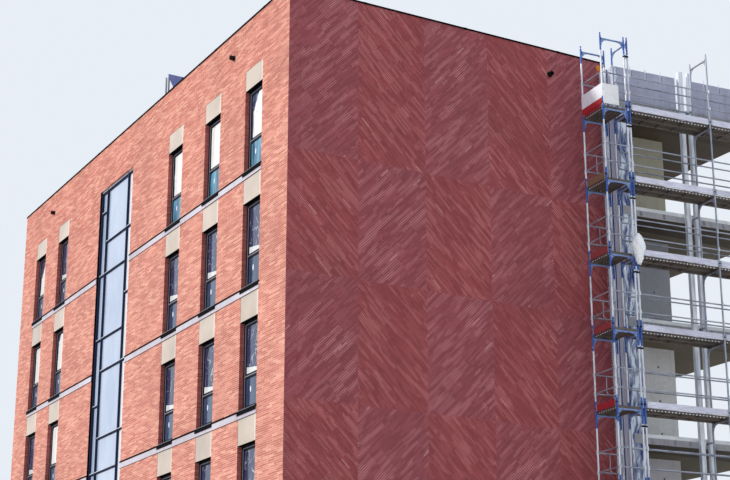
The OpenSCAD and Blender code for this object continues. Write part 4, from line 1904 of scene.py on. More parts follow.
@dataclass
class WindowTrim(AtWindows):
    """Metal trays over the windows with a folded strip, grooved soffits and tray sills."""

    gap: float = 0.003
    strip: float = 0.075
    fold: float = 0.0015
    sill_out: float = 0.04

    def tray(self, height: float) -> Piece:
        """Models one tray, standing on the window's head.

        Args:
            height: The tray's height.

        Returns:
            The tray.
        """
        half, head = PLAN.window_w / 2 - self.gap, PLAN.window_h
        high = (half - self.strip, PLAN.reveal, head + height - 0.002)
        body = Bench.box((-half, 0.001, head + 0.004), high)
        return Bench.bevel(Bench.inset(body, Facing.FRONT, 0.016, -self.fold), 0.003)

    def strip_of(self, height: float) -> Piece:
        """Models the folded strip at the tray's near edge, paler as painted highlight on the fold.

        Args:
            height: The tray's height.

        Returns:
            The strip.
        """
        half, head = PLAN.window_w / 2 - self.gap, PLAN.window_h
        low = (half - self.strip + 0.003, -0.003, head + 0.004)
        return Bench.bar(low, (half, PLAN.reveal, head + height - 0.002), 0.005, 2)

    def soffit(self) -> Piece:
        """Models the ribbed soffit under the tray, near black as painted shade under the window head.

        Returns:
            The soffit.
        """
        half, head = PLAN.window_w / 2 - 0.001, PLAN.window_h
        plate = Bench.box((-half, 0.003, head - 0.002), (half, PLAN.reveal + 0.001, head + 0.005))
        rib = Bench.bar((-half, 0.006, head - 0.010), (half, 0.014, head), 0.002)
        return Bench.join([plate, Bench.row(rib, 7, (0, 0.0155, 0))])

    def sill(self) -> Piece:
        """Models one sill: a tray with a turned-down front and upstands at its ends.

        Returns:
            The sill.
        """
        half, out, foot = PLAN.window_w / 2, -self.sill_out, -PLAN.sill_h
        wide = half + PLAN.sill_side
        front = Bench.inset(Bench.box((-wide, out, foot), (wide, 0.0, -0.004)), Facing.TOP, 0.008, -0.004)
        inner = Bench.box((-half, -0.004, foot), (half, PLAN.reveal + 0.002, -0.003))
        lip = Bench.box((-wide, out - 0.004, foot - 0.004), (wide, out + 0.010, foot + 0.018))
        return Bench.bevel(Bench.join([front, inner, lip]), 0.0025)

    def sill_highlight(self) -> Piece:
        """Models a pale bar along a sill's top edge: a painted highlight where the sill's top catches light.
        """
        wide = PLAN.window_w / 2 + PLAN.sill_side
        return Bench.bar((-wide, -0.0445, -0.012), (wide, -0.036, -0.001), 0.002)

    def build(self) -> None:
        """Puts trays, strips, soffits and sills at all windows."""
        last = PLAN.storeys - 1
        usual = PLAN.storey - PLAN.window_h - PLAN.band_h
        top = PLAN.beam - PLAN.foot(last) - PLAN.window_h
        for sides, name in ((FRONT, "left"), (REAR, "rear")):
            left = name == "left"
            trays = (self.tray, "_trays", "panel_metal", ["head_panels"] if left else [])
            strips = (self.strip_of, "_tray_strips", "panel_edge_highlight", [])
            for model, kind, finish, replaced in (trays, strips):
                pieces = []
                for side in sides:
                    for height, span in ((usual, (0, last)), (top, (last,))):
                        pieces.append(Bench.repeat(model(height), self.places(side, *span)))
                self.deliver(Bench.join(pieces), name + kind, finish, "panel_metal", replaced)
            replaced = ["window_sills"] if left else []
            # Near-black soffits: painted shade under the window heads.
            self.spread(self.soffit(), sides, name + "_soffits", "coping_metal")
            self.spread(self.sill(), sides, name + "_sills", "coping_metal", "sill_metal", replaced)
            # Painted highlight along the sills' tops.
            self.spread(self.sill_highlight(), sides, name + "_sill_highlights", "pale_sheen", "sill_metal")


@dataclass
class Bands(Assembly):
    """Light string bands with a notch for each sill, a dark strip on top and a black line of painted shadow
    under the foot.
    """

    length: float = 1.30
    joint: float = 0.006
    out: float = 0.02
    end: float = 0.03
    top_strip_h: float = 0.045

    def spans(self) -> list[tuple[Side, float, float]]:
        """Works out the bands, as the windows and the stair glazing leave them.

        Returns:
            Side, start and end of every band.
        """
        past = PLAN.window_w / 2 + self.end
        full = [(side, columns[0] - past, columns[-1] + past) for side, columns in COLUMNS.items()]
        side, start, end = full[0]
        return [(side, start, PLAN.stair_x), (side, PLAN.stair_x + PLAN.stair_w, end), *full[1:]]

    def stones(self, beside: Sequence[Span], under: Sequence[Span]) -> Piece:
        """Models one band's stones at the lowest storey that has a band.

        Args:
            beside: The stretches beside the windows.
            under: The notched stretches under them.

        Returns:
            The stones.
        """
        top, half, face = PLAN.foot(1), self.joint / 2, -self.out
        foot, notch = top - PLAN.band_h, top - PLAN.sill_h
        parts = []
        for start, end in beside:
            count = max(1, round((end - start) / self.length))
            step = (end - start) / count
            open_half = half * (step > 0.1)
            high = (start + step - open_half, 0.003, top)
            stone = Bench.bar((start + open_half, face, foot), high, 0.004, 2)
            parts.append(Bench.row(stone, count, (step, 0, 0)))
        for start, end in under:
            parts.append(Bench.bar((start, face, foot), (end, 0.003, notch), 0.004, 2))
            low = (start + PLAN.sill_side, -0.002, foot)
            block = Bench.box(low, (end - PLAN.sill_side, PLAN.reveal, notch))
            parts.append(Bench.inset(block, Facing.UNDER, 0.015, -0.006))
        return Bench.join(parts)

    def covers(self, beside: Sequence[Span], start: float, end: float) -> Piece:
        """Models the dark strip over the stretches beside the windows, and the black line under the band's
        foot, which is painted shadow.

        Args:
            beside: The stretches beside the windows.
            start: The band's start along the side.
            end: Its end.

        Returns:
            The covers.
        """
        top, face, parts = PLAN.foot(1), -self.out, []
        lower, foot = top - self.top_strip_h, top - PLAN.band_h
        for first, last in beside:
            parts.append(Bench.box((first - 0.001, face - 0.005, lower), (last + 0.001, 0.004, top + 0.002)))
            parts.append(Bench.box((first, face - 0.009, lower - 0.002), (last, face, lower + 0.008)))
        # Painted shadow: a black line under the band's foot.
        parts.append(Bench.box((start, face + 0.003, foot - 0.006), (end, 0.002, foot + 0.004)))
        return Bench.bevel(Bench.join(parts), 0.002)

    def build(self) -> None:
        """Puts bands, their dark top strips and the painted shadow lines under them on three sides."""
        half = PLAN.window_w / 2 + PLAN.sill_side
        stones, covers = [], []
        for side, start, end in self.spans():
            under = [(c - half, c + half) for c in COLUMNS[side] if start < c < end]
            edges = [start, *(edge for stretch in under for edge in stretch), end]
            beside = [(a, b) for a, b in zip(edges[::2], edges[1::2]) if b - a > 0.002]
            models = (self.stones(beside, under), stones), (self.covers(beside, start, end), covers)
            for model, group in models:
                model.data.transform(side.matrix)
                group.append(Bench.row(model, PLAN.storeys - 1, (0, 0, PLAN.storey)))
        self.deliver(Bench.join(stones), "band_stones", "band_stone", "", ["string_bands"])
        self.deliver(Bench.join(covers), "band_dark_strips", "coping_metal")


@dataclass
class StairGlazing(Assembly):
    """Cover caps, dark sheets of painted shade on the jambs, gaskets and pale strips of the full-height
    glazing.
    """

    side = Side.WINDOW_FRONT
    face: float = 0.06
    member: float = 0.10
    narrow: float = 0.36
    bar: float = 0.06
    cap: float = 0.05
    proud: float = 0.014
    fine: float = 0.0015
    spans: tuple[tuple[int, int], ...] = ((0, 0), (1, 2), (0, 1), (2, 2), (0, 1), (1, 2))

    @property
    def lights(self) -> list[Span]:
        """Works out the three columns of lights.

        Returns:
            Start and end of each.
        """
        start, spans = PLAN.stair_x, []
        for width in (self.narrow, PLAN.stair_w - 2 * self.narrow - 4 * self.member, self.narrow):
            start += self.member
            spans.append((start, start + width))
            start += width
        return spans

    def transoms(self) -> list[tuple[float, float, float, tuple[int, int]]]:
        """Gives each transom's middle height, its start and end, and the lights that it crosses.

        Returns:
            The transoms from the top down.
        """
        step = PLAN.storey / 3
        top = PLAN.foot(PLAN.storeys - 1) + 2 * step
        count = math.floor((top - PLAN.base_top) / step)
        spans = [self.spans[n % len(self.spans)] for n in range(count)]
        lights = self.lights
        return [(top - n * step, lights[a][0], lights[b][1], (a, b)) for n, (a, b) in enumerate(spans)]

    def panes(self) -> list[tuple[float, float, float, float]]:
        """Gives start, end, foot and top of every pane.

        Returns:
            The panes, light by light from the top down.
        """
        low, high = PLAN.base_top + self.member, PLAN.beam - self.member
        found = []
        for index, (start, end) in enumerate(self.lights):
            stops = [z for z, _start, _end, (a, b) in self.transoms() if a <= index <= b]
            tops = [high] + [z - self.bar / 2 for z in stops]
            feet = [z + self.bar / 2 for z in stops] + [low]
            found += [(start, end, foot, top) for foot, top in zip(feet, tops)]
        return found

    def caps(self) -> Piece:
        """Models the upright and level cover caps.

        Returns:
            The caps.
        """
        front, back, half = self.face - self.proud, self.face + 0.004, self.cap / 2
        first, last, lights = PLAN.stair_x, PLAN.stair_x + PLAN.stair_w, self.lights
        edges = [first + self.member / 2, last - self.member / 2]
        edges += [(lights[i][1] + lights[i + 1][0]) / 2 for i in range(2)]
        low, high = PLAN.base_top + 0.01, PLAN.beam - 0.01
        bars = [Bench.box((edge - half, front, low), (edge + half, back, high)) for edge in edges]
        for z, start, end, _lights in self.transoms():
            bars.append(Bench.box((start - 0.03, front + 0.003, z - 0.026), (end + 0.03, back, z + 0.006)))
        for z in (PLAN.base_top + self.member / 2, PLAN.beam - self.member + 0.028):
            bars.append(Bench.box((first + 0.01, front + 0.002, z - 0.024), (last - 0.01, back, z + 0.024)))
        return Bench.bevel(Bench.join(bars), 0.004, 2)

    def shade_sheets(self) -> Piece:
        """Models dark sheets on the brick jambs beside the glazing: painted shade of the deep jambs.

        Returns:
            The sheets.
        """
        sheets, low, high = [], PLAN.base_top + 0.005, PLAN.beam - 0.005
        for edge, way in ((PLAN.stair_x, 1), (PLAN.stair_x + PLAN.stair_w, -1)):
            first, last = sorted((edge + way * 0.0005, edge + way * 0.0045))
            sheets.append(Bench.box((first, 0.008, low), (last, self.face - 0.001, high)))
        return Bench.bevel(Bench.join(sheets), 0.001)

    def lines(self) -> Piece:
        """Models the gaskets round the panes.

        Returns:
            The gaskets.
        """
        front, back, lap = self.face + 0.022, self.face + 0.045, 0.004
        rings = [
            Bench.ring((start - lap, front, foot - lap), (end + lap, back, top + lap), 0.018)
            for start, end, foot, top in self.panes()
        ]
        return Bench.bevel(Bench.join(rings), self.fine)

    def strips(self) -> Piece:
        """Models the bright strips above the transoms, under the head and beside the far jamb.

        Returns:
            The strips.
        """
        back, head = self.face + 0.003, PLAN.beam - self.member
        first, last = PLAN.stair_x, PLAN.stair_x + PLAN.stair_w
        bars = [
            Bench.box((start, self.face - 0.014, z + 0.008), (end, back, z + 0.024))
            for z, start, end, _lights in self.transoms()
        ]
        low = (first + 0.02, self.face - 0.012, head + 0.056)
        bars.append(Bench.box(low, (last - 0.02, back, head + 0.080)))
        low = (first + 0.007, self.face - 0.006, PLAN.base_top + 0.02)
        bars.append(Bench.box(low, (first + 0.021, back, head)))
        return Bench.bevel(Bench.join(bars), self.fine)

    def build(self) -> None:
        """Dresses the glazing."""
        self.deliver(self.caps(), "stair_cover_caps", "stair_frame")
        # Dark sheets of painted shade on the stair jambs.
        self.deliver(self.shade_sheets(), "stair_shade_sheets", "coping_metal", "stair_frame")
        self.deliver(self.lines(), "stair_gaskets", "stair_seal", "stair_frame")
        self.deliver(self.strips(), "stair_pale_strips", "pale_line", "stair_frame")


@dataclass
class WallTop(Assembly):
    """Seam covers of the coping, spout flanges and the foam at the coping's end."""

    over: float = 0.025
    seam: float = 0.11
    pitch: float = 3.0
    spout_z: float = 19.12
    runs: tuple[tuple[Side, float, float], ...] = (
        (Side.WINDOW_FRONT, 1.2, PLAN.depth),
        (Side.GABLE, 2.1, PLAN.gable),
        (Side.BACK, 1.6, PLAN.width),
        (Side.RIGHT, PLAN.open_side + 1.5, PLAN.depth),
    )
    spouts: tuple[tuple[Side, float], ...] = (
        (Side.WINDOW_FRONT, 3.04), (Side.WINDOW_FRONT, 17.46), (Side.GABLE, 7.86),
    )

    def seams(self) -> Piece:
        """Models the covers over the coping's butt joints on all sides.

        Returns:
            The covers.
        """
        front, back = -self.over - 0.004, PLAN.wall + self.over + 0.004
        foot, top = PLAN.wall_top - 0.006, PLAN.wall_top + PLAN.coping + 0.004
        parts = []
        for side, start, end in self.runs:
            cover = Bench.bar((start, front, foot), (start + self.seam, back, top), 0.003)
            Bench.row(cover, math.floor((end - start - 0.2) / self.pitch) + 1, (self.pitch, 0, 0))
            cover.data.transform(side.matrix)
            parts.append(cover)
        return Bench.join(parts)

    def flanges(self) -> Piece:
        """Models the round wall plates of the three spouts.

        Returns:
            The plates.
        """
        parts = []
        for side, x in self.spouts:
            plate = Bench.tube((x, -0.018, self.spout_z), (x, 0.0, self.spout_z), 0.16, 24)
            Bench.bevel(Bench.inset(plate, Facing.FRONT, 0.010, 0.004), 0.002)
            plate.data.transform(side.matrix)
            parts.append(plate)
        return Bench.join(parts)

    def foam(self) -> Piece:
        """Models the lump of foam that closes the coping's right end.

        Returns:
            The lump.
        """
        low = (PLAN.gable - 0.30, -0.045, PLAN.wall_top - 0.32)
        lump = Bench.box(low, (PLAN.gable - 0.01, 0.15, PLAN.wall_top + 0.01))
        Bench.modifier(lump, "SUBSURF", levels=3, render_levels=3)
        Bench.displace(lump, "foam_lumps", "CLOUDS", 0.05, strength=0.02, mid_level=0.7)
        return Bench.smooth(lump, 60)

    def build(self) -> None:
        """Dresses the wall's top."""
        self.deliver(self.seams(), "coping_seams", "coping_metal")
        self.deliver(self.flanges(), "spout_flanges", "spout_metal")
        self.deliver(self.foam(), "coping_end_foam", "foam_orange", "infill", side=Side.GABLE)


@dataclass
class OpenWing(Assembly):
    """Bright strips of painted highlight, anchors, tie cones, parapet blocks, dark lines of painted shade on
    the studs and post cleats of the open wing.
    """

    side = Side.WING
    strip_h: float = 0.085
    block_l: float = 0.49
    block_h: float = 0.25
    block_gap: float = 0.007
    block_out: float = 0.008
    board_t: float = 0.10
    shade_line_t: float = 0.003
    posts: tuple[float, ...] = (2.03, 2.32, 4.13, 4.42)
    gaps: tuple[Span, ...] = ((1.905, 2.445), (4.005, 4.545))
    open_joint: float = 0.05
    open_joints: tuple[float, ...] = (0.435, 0.925, 1.415, 2.885, 3.375)
    strip_spans: tuple[Span, ...] = ((0.40, 1.98), (1.99, 3.30), (3.31, PLAN.wing_l - 0.01))
    top_blocks: tuple[Span, ...] = (
        (0.0, 0.435), (0.485, 0.925), (0.975, 1.415), (1.465, 1.905), (2.445, 2.885),
        (2.935, 3.375), (3.425, 4.005), (4.545, PLAN.wing_l),
    )
    anchor_seed: int = 11
    anchor_from: float = 0.55
    anchor_steps: Span = (0.45, 0.8)
    post_clear: float = 0.14
    cone_x: tuple[float, ...] = (0.45, 1.25, 2.05)
    cone_y: Span = (1.72, 1.92)
    cone_z: tuple[float, ...] = (0.45, 1.35, 2.3)
    parapet_top: ClassVar[float] = PLAN.roof + PLAN.parapet

    def strips(self) -> Piece:
        """Models the bright strip on each slab's top front edge, in lengths; its white is painted highlight.

        Returns:
            The strips.
        """
        foot, top, parts = PLAN.floor(1) - self.strip_h, PLAN.floor(1) + 0.012, []
        for start, end in self.strip_spans:
            strip = Bench.box((start, -0.012, foot), (end, 0.03, top))
            parts.append(Bench.bevel(Bench.inset(strip, Facing.FRONT, 0.008, -0.003), 0.003))
        return Bench.row(Bench.join(parts), PLAN.storeys - 1, (0, 0, PLAN.storey))

    def anchors(self) -> Piece:
        """Models the steel angles that hang on the slab edges, at uneven steps clear of the posts.

        Returns:
            The angles.
        """
        dice = random.Random(self.anchor_seed)
        angle = Bench.inset(Bench.box((-0.03, -0.016, -0.11), (0.03, 0.0, 0.0)), Facing.FRONT, 0.012, -0.006)
        foot = Bench.bar((-0.03, -0.055, -0.118), (0.03, -0.0, -0.110), 0.002)
        bolt = Bench.tube((0, -0.03, -0.05), (0, -0.012, -0.05), 0.022, 6)
        places = []
        for storey in range(1, PLAN.storeys + 1):
            spot = self.anchor_from
            while spot < PLAN.wing_l - 0.2:
                if all(abs(spot - post) > self.post_clear for post in self.posts):
                    places.append(shift(x=spot, z=PLAN.floor(storey) - self.strip_h - 0.01))
                spot += dice.uniform(*self.anchor_steps)
        return Bench.repeat(Bench.join([angle, foot, bolt]), places)

    def joint_bars(self) -> Piece:
        """Models the pale strips and thin steel uprights that stand in the parapet's open joints.

        Returns:
            The bars.
        """
        top, foot = self.parapet_top, self.parapet_top - self.block_h - 0.02
        bar = Bench.bar((-0.019, 0.02, foot), (0.019, 0.05, top + 0.09), 0.003)
        spike = Bench.tube((0.012, 0.06, foot), (0.012, 0.06, top + 0.17), 0.014, 6)
        places = [shift(x=a + self.open_joint / 2) for a in self.open_joints]
        return Bench.repeat(Bench.join([bar, spike]), places)

    def cones(self) -> Piece:
        """Models the cast tie cones in the cross walls' faces.

        Returns:
            The cones.
        """
        cone = Bench.tube((0, -0.004, 0), (0, 0.004, 0), 0.06, 14)
        Bench.inset(cone, Facing.FRONT_AND_BACK, 0.012, -0.003)
        places = [
            shift(x, y, PLAN.floor(storey) + z)
            for storey in range(PLAN.storeys)
            for y in self.cone_y
            for x in self.cone_x
            for z in self.cone_z
        ]
        return Bench.repeat(cone, places)

    def course(self, span: Span, up: Span, phase: float) -> Piece:
        """Lays one course of parapet blocks in the front face.

        Args:
            span: Its start and end.
            up: Its foot and top.
            phase: Where a whole block starts.

        Returns:
            The blocks.
        """
        half = self.block_gap / 2
        start, _end = whole(*span, self.block_l, phase)
        low = (start + half, -self.block_out, up[1] - self.block_h + half)
        block = Bench.box(low, (start + self.block_l - half, 0.004, up[1] - half * 0.2))
        Bench.row(block, math.ceil((span[1] - start) / self.block_l), (self.block_l, 0, 0))
        Bench.crop(Bench.bevel(block, 0.005), 0, *span)
        return Bench.crop(block, 2, up[0])

    def blocks(self) -> Piece:
        """Lays all parapet blocks; the top course keeps its open joints.

        Returns:
            The blocks.
        """
        top = self.parapet_top
        edges = [0.0, *(edge for gap in self.gaps for edge in gap), PLAN.wing_l]
        parts = []
        for span in zip(edges[::2], edges[1::2]):
            for course in range(1, 4):
                up = (max(PLAN.roof, top - (course + 1) * self.block_h), top - course * self.block_h)
                phase = self.gaps[0][0] - (course % 2) * self.block_l / 2
                parts.append(self.course(span, up, phase))
        for start, end in self.top_blocks:
            low = (start + 0.002, -self.block_out, top - self.block_h + 0.006)
            parts.append(Bench.bar(low, (end - 0.002, 0.004, top - 0.001), 0.005))
        return Bench.join(parts)

    def shade_lines(self) -> Piece:
        """Models dark lines along the boards, one on the face of each corner stud: painted shade of the gaps
        between the studs.

        Returns:
            The lines.
        """
        back, step = PLAN.gable - self.board_t, PLAN.wing_step
        high = (back - 0.002, 0.0, self.parapet_top - 0.01)
        model = Bench.bar((back - 0.030, -self.shade_line_t, 0.01), high, 0.0008)
        return Bench.repeat(model, [shift(y=y) for y in (-0.06, -step / 2, -step)])

    def cleats(self) -> Piece:
        """Models the plates and bolts that hold the posts to the slab edges.

        Returns:
            The cleats.
        """
        plate = Bench.bar((-0.085, -0.118, -0.20), (0.085, -0.110, -0.06), 0.003)
        lug = Bench.bar((0.065, -0.112, -0.20), (0.073, 0.0, -0.06), 0.002)
        other = Bench.copy(lug, shift(x=-0.138))
        spots = [(x, z) for x in (-0.04, 0.04) for z in (-0.17, -0.09)]
        bolts = [Bench.tube((x, -0.130, z), (x, -0.117, z), 0.024, 6) for x, z in spots]
        places = [shift(x=a, z=PLAN.floor(k)) for a in self.posts for k in range(1, PLAN.storeys + 1)]
        return Bench.repeat(Bench.join([plate, lug, other, *bolts]), places)

    def build(self) -> None:
        """Dresses the open wing."""
        # White strips of painted highlight on the slab edges.
        self.deliver(self.strips(), "slab_edge_highlights", "edge_highlight", "concrete")
        self.deliver(self.anchors(), "slab_edge_anchors", "rail_steel", "galvanised")
        self.deliver(self.joint_bars(), "parapet_joint_bars", "galvanised")
        # Dark lines of painted shade on the corner studs.
        self.deliver(self.shade_lines(), "stud_shade_lines", "stud_shade", "membrane", side=Side.GABLE)
        self.deliver(self.cones(), "wall_tie_cones", "infill", "concrete")
        self.deliver(self.blocks(), "parapet_blocks", "blockwork")
        self.deliver(self.cleats(), "post_cleats", "galvanised")


@dataclass
class Scaffold(Assembly):
    """Frame scaffold with round tubes, collars, lugs, gussets, planks, rails and toe boards."""

    side = Side.WING
    tube: float = 0.048
    rail: float = 0.038
    outer: float = -1.0
    inner: float = -0.27
    runs: tuple[float, ...] = (-0.32, 2.25, 4.82)
    end_left: float = -1.15
    end_right: float = -0.42
    end_far: float = -0.04
    sole: float = 0.045
    spigot: float = 0.15
    plank_w: float = 0.32
    plank_gap: float = 0.014
    plank_play: float = 0.01
    deck_t: float = 0.07
    outer_rails: tuple[float, ...] = (0.53, 1.02)
    inner_rails: tuple[float, ...] = (0.67, 1.16)
    gusset: float = 0.17
    strap: float = 0.045
    collar_up: float = 0.13
    dot_pitch: float = 0.105
    rib_pitch: float = 0.52

    @property
    def standards(self) -> list[Span]:
        """Gives the places of the ten standards."""
        run = [(a, b) for a in self.runs for b in (self.outer, self.inner)]
        return run + [(a, b) for a in (self.end_left, self.end_right) for b in (self.outer, self.end_far)]

    @property
    def clear(self) -> float:
        """Gives the clear length between the standards of a run's bay."""
        return self.runs[1] - self.runs[0] - self.tube

    def tubes(self) -> Piece:
        """Models the standards with their spigot ends.

        Returns:
            The standards.
        """
        top = PLAN.lift(PLAN.lifts) + self.spigot
        body = Bench.tube((0, 0, self.sole), (0, 0, top - self.spigot * 0.55), self.tube, 16)
        spigot = Bench.tube((0, 0, top - self.spigot), (0, 0, top), self.tube * 0.8, 16)
        model = Bench.smooth(Bench.bevel(Bench.join([body, spigot]), 0.002))
        return Bench.repeat(model, [shift(a, b) for a, b in self.standards])

    def collars(self) -> Piece:
        """Models the dark collars above each deck frame and the couplers between the corner tubes.

        Returns:
            Both as one piece.
        """
        collar = Bench.bevel(Bench.tube((0, 0, 0), (0, 0, 0.035), self.tube + 0.012, 14), 0.004)
        heights = [PLAN.lift(k) + self.collar_up for k in range(PLAN.lifts)]
        places = [shift(a, b, z) for a, b in self.standards for z in heights]
        clamps = []
        for k in range(PLAN.lifts + 1):
            low = (self.end_right - 0.029, self.outer - 0.031, PLAN.lift(k) - 0.44)
            high = (self.runs[0] + 0.029, self.outer + 0.031, PLAN.lift(k) - 0.39)
            clamps.append(Bench.bar(low, high, 0.012, 2))
        return Bench.join([Bench.repeat(collar, places), *clamps])

    def feet(self) -> Piece:
        """Models base plates and jack nuts under the standards.

        Returns:
            The feet.
        """
        foot = self.sole
        plate = Bench.bar((-0.075, -0.075, foot), (0.075, 0.075, foot + 0.008), 0.003)
        nut = Bench.bevel(Bench.tube((0, 0, foot + 0.16), (0, 0, foot + 0.20), 0.08, 8), 0.006)
        wing = Bench.bar((-0.10, -0.008, foot + 0.17), (0.10, 0.008, foot + 0.19), 0.004)
        return Bench.repeat(Bench.join([plate, nut, wing]), [shift(a, b) for a, b in self.standards])

    def lugs(self) -> Piece:
        """Models the wedge lugs for the rails on the standards.

        Returns:
            The lugs.
        """
        body = Bench.box((-0.012, -0.046, -0.035), (0.012, -0.018, 0.035))
        Bench.inset(body, Facing.FRONT, 0.005, -0.006)
        wedge = Bench.box((-0.005, -0.058, -0.05), (0.005, -0.044, 0.06))
        model = Bench.bevel(Bench.join([body, wedge]), 0.0025)
        places = []
        for a, b in self.standards:
            turn = turned(180.0 if b in (self.inner, self.end_far) else 0.0)
            heights = self.inner_rails if b == self.inner else self.outer_rails
            places += [shift(a, b, PLAN.lift(k) + up) @ turn for k in range(PLAN.lifts) for up in heights]
        return Bench.repeat(model, places)

    def frames(self, painted: bool) -> Piece:
        """Models the transoms with their end plates and the bent bar gussets.

        Args:
            painted: Whether to model the painted frames of the corner or the bare ones beyond.

        Returns:
            The frames of all lifts.
        """
        half, reach = self.tube / 2, self.gusset
        far = half + (self.inner - self.outer - self.tube)
        parts = [Bench.tube((half, 0, -half), (far, 0, -half), self.tube, 14)]
        for x in (half, far - 0.008):
            parts.append(Bench.bar((x, -0.03, -0.07), (x + 0.008, 0.03, 0.012), 0.003))
        for start, way in ((half, 1.0), (far, -1.0)):
            path = []
            for step in range(9):
                angle = math.pi / 2 * step / 8
                x = start + way * reach * (1 - math.cos(angle))
                z = -self.tube - reach * (1 - math.sin(angle))
                path.append((x + way * 0.006, 0.0, z + 0.004))
            parts.append(Bench.bent(path, 0.022))
            first, last = sorted((start, start + way * 0.07))
            web = Bench.box((first, -0.005, -self.tube - 0.07), (last, 0.005, -self.tube + 0.004))
            parts.append(Bench.inset(web, Facing.FRONT_AND_BACK, 0.014, -0.002))
        model = Bench.smooth(Bench.join(parts))
        runs = self.runs[:1] if painted else self.runs[1:]
        places = []
        for z in map(PLAN.lift, range(PLAN.lifts + 1)):
            places += [shift(a, self.outer, z) @ turned(90.0) for a in runs]
            if painted:
                places += [shift(self.end_left, b, z) for b in (self.outer, self.end_far)]
        return Bench.repeat(model, places)

    def plank(self, length: float) -> Piece:
        """Models one punched plank from the origin along x, with ribs below and claws at its ends.

        Args:
            length: The plank's length.

        Returns:
            The plank.
        """
        plank = Bench.box((0, 0, 0), (length, self.plank_w, self.deck_t))
        Bench.bevel(Bench.inset(plank, Facing.UNDER, 0.022, -0.05), 0.004)
        rib = Bench.bar((0.20, 0.02, 0.015), (0.24, self.plank_w - 0.02, 0.055), 0.005)
        Bench.row(rib, max(2, round((length - 0.4) / self.rib_pitch)), (self.rib_pitch, 0, 0))
        spots = [(x, y) for x in (0.012, length - 0.052) for y in (0.04, self.plank_w - 0.08)]
        claws = [Bench.bar((x, y, -0.012), (x + 0.04, y + 0.04, 0.02), 0.006) for x, y in spots]
        return Bench.join([plank, rib, *claws])

    def dots(self, length: float) -> Piece:
        """Models the rows of bright pressed holes on a plank's two flanges.

        Args:
            length: The plank's length.

        Returns:
            The holes.
        """
        dot = Bench.tube((0.10, -0.003, 0.020), (0.10, 0.003, 0.020), 0.034, 8)
        Bench.inset(dot, Facing.FRONT, 0.008, -0.002)
        Bench.row(dot, math.floor((length - 0.2) / self.dot_pitch) + 1, (self.dot_pitch, 0, 0))
        return Bench.join([dot, Bench.copy(dot, shift(length, self.plank_w) @ turned(180.0))])

    def decks(self, model: Callable[[float], Piece]) -> Piece:
        """Repeats a model at every plank of the run's bays and of the end bay.

        Args:
            model: Models one plank's part from its length.

        Returns:
            All copies as one piece.
        """
        half = self.tube / 2
        starts = (half + self.plank_gap, half + 2 * self.plank_gap + self.plank_w)
        run, end = [], []
        for z in map(PLAN.lift, range(PLAN.lifts)):
            for start in starts:
                run += [shift(a + self.plank_play / 2, self.outer + start, z) for a in self.runs[:2]]
                end.append(shift(self.end_left + start + self.plank_w, self.outer, z) @ turned(90.0))
        bay = self.runs[1] - self.runs[0] - self.plank_play
        long = Bench.repeat(model(bay), run)
        return Bench.join([long, Bench.repeat(model(self.end_far - self.outer), end)])

    def one_rail(self, length: float) -> Piece:
        """Models one rail from the origin along x, with flattened ends.

        Args:
            length: Its length.

        Returns:
            The rail.
        """
        bar = Bench.smooth(Bench.tube((0.05, 0, 0), (length - 0.05, 0, 0), self.rail, 12))
        ends = (0.0, length - 0.075)
        tips = [Bench.bar((x, -0.006, -0.021), (x + 0.075, 0.006, 0.021), 0.004) for x in ends]
        return Bench.join([bar, *tips])

    def rails(self) -> Piece:
        """Models all guard rails.

        Returns:
            The rails.
        """
        half, levels = self.tube / 2, [PLAN.lift(k) for k in range(PLAN.lifts)]
        run = []
        for z in levels:
            for a in self.runs[:2]:
                run += [shift(a + half, self.outer, z + up) for up in self.outer_rails]
                run += [shift(a + half, self.inner, z + up) for up in self.inner_rails]
        across = [
            shift(self.end_left + half, b, z + up)
            for z in levels
            for b in (self.outer, self.end_far)
            for up in self.outer_rails
        ]
        deep = [
            shift(self.end_left, self.outer + half, z + up) @ turned(90.0)
            for z in levels
            for up in self.outer_rails
        ]
        width, depth = self.end_right - self.end_left - self.tube, self.end_far - self.outer - self.tube
        groups = ((self.clear, run), (width, across), (depth, deep))
        return Bench.join([Bench.repeat(self.one_rail(length), places) for length, places in groups])

    @staticmethod
    def hoop(width: float, drop: float, corner: float = 0.09) -> Piece:
        """Models one U-shaped hoop that hangs from the origin.

        Args:
            width: Its width.
            drop: Its height.
            corner: The radius of its corners.

        Returns:
            The hoop.
        """
        path: list[Place] = [(0.0, 0.0, 0.0)]
        for middle, first in ((corner, math.pi), (width - corner, 1.5 * math.pi)):
            for step in range(6):
                angle = first + math.pi / 2 * step / 5
                path.append((middle + corner * math.cos(angle), 0.0, corner * (1 + math.sin(angle)) - drop))
        path.append((width, 0.0, 0.0))
        return Bench.bent(path, 0.024)

    def hoops(self) -> Piece:
        """Models the thin bent hoops at the end bay's far side and at the run's inner side.

        Returns:
            The hoops.
        """
        middle, top = self.outer_rails
        width = (self.end_right - self.end_left) * 0.52
        parts = []
        for z in map(PLAN.lift, range(PLAN.lifts)):
            far = self.hoop(width, top - middle)
            far.data.transform(shift(self.end_right - 0.02 - width, self.end_far - 0.035, z + top))
            near = self.hoop(0.36, 0.5)
            near.data.transform(shift(self.runs[0] + 0.03, self.inner - 0.035, z + self.inner_rails[1]))
            parts += [far, near]
        return Bench.smooth(Bench.join(parts))

    @staticmethod
    def toe_boards(length: float, places: Iterable[Matrix]) -> Piece:
        """Models toe boards with sawn ends, one at each place.

        Args:
            length: Their length.
            places: Where each starts and which way it runs.

        Returns:
            The boards.
        """
        return Bench.repeat(Bench.bar((0, -0.015, 0), (length, 0.015, 0.16), 0.005, 2), places)

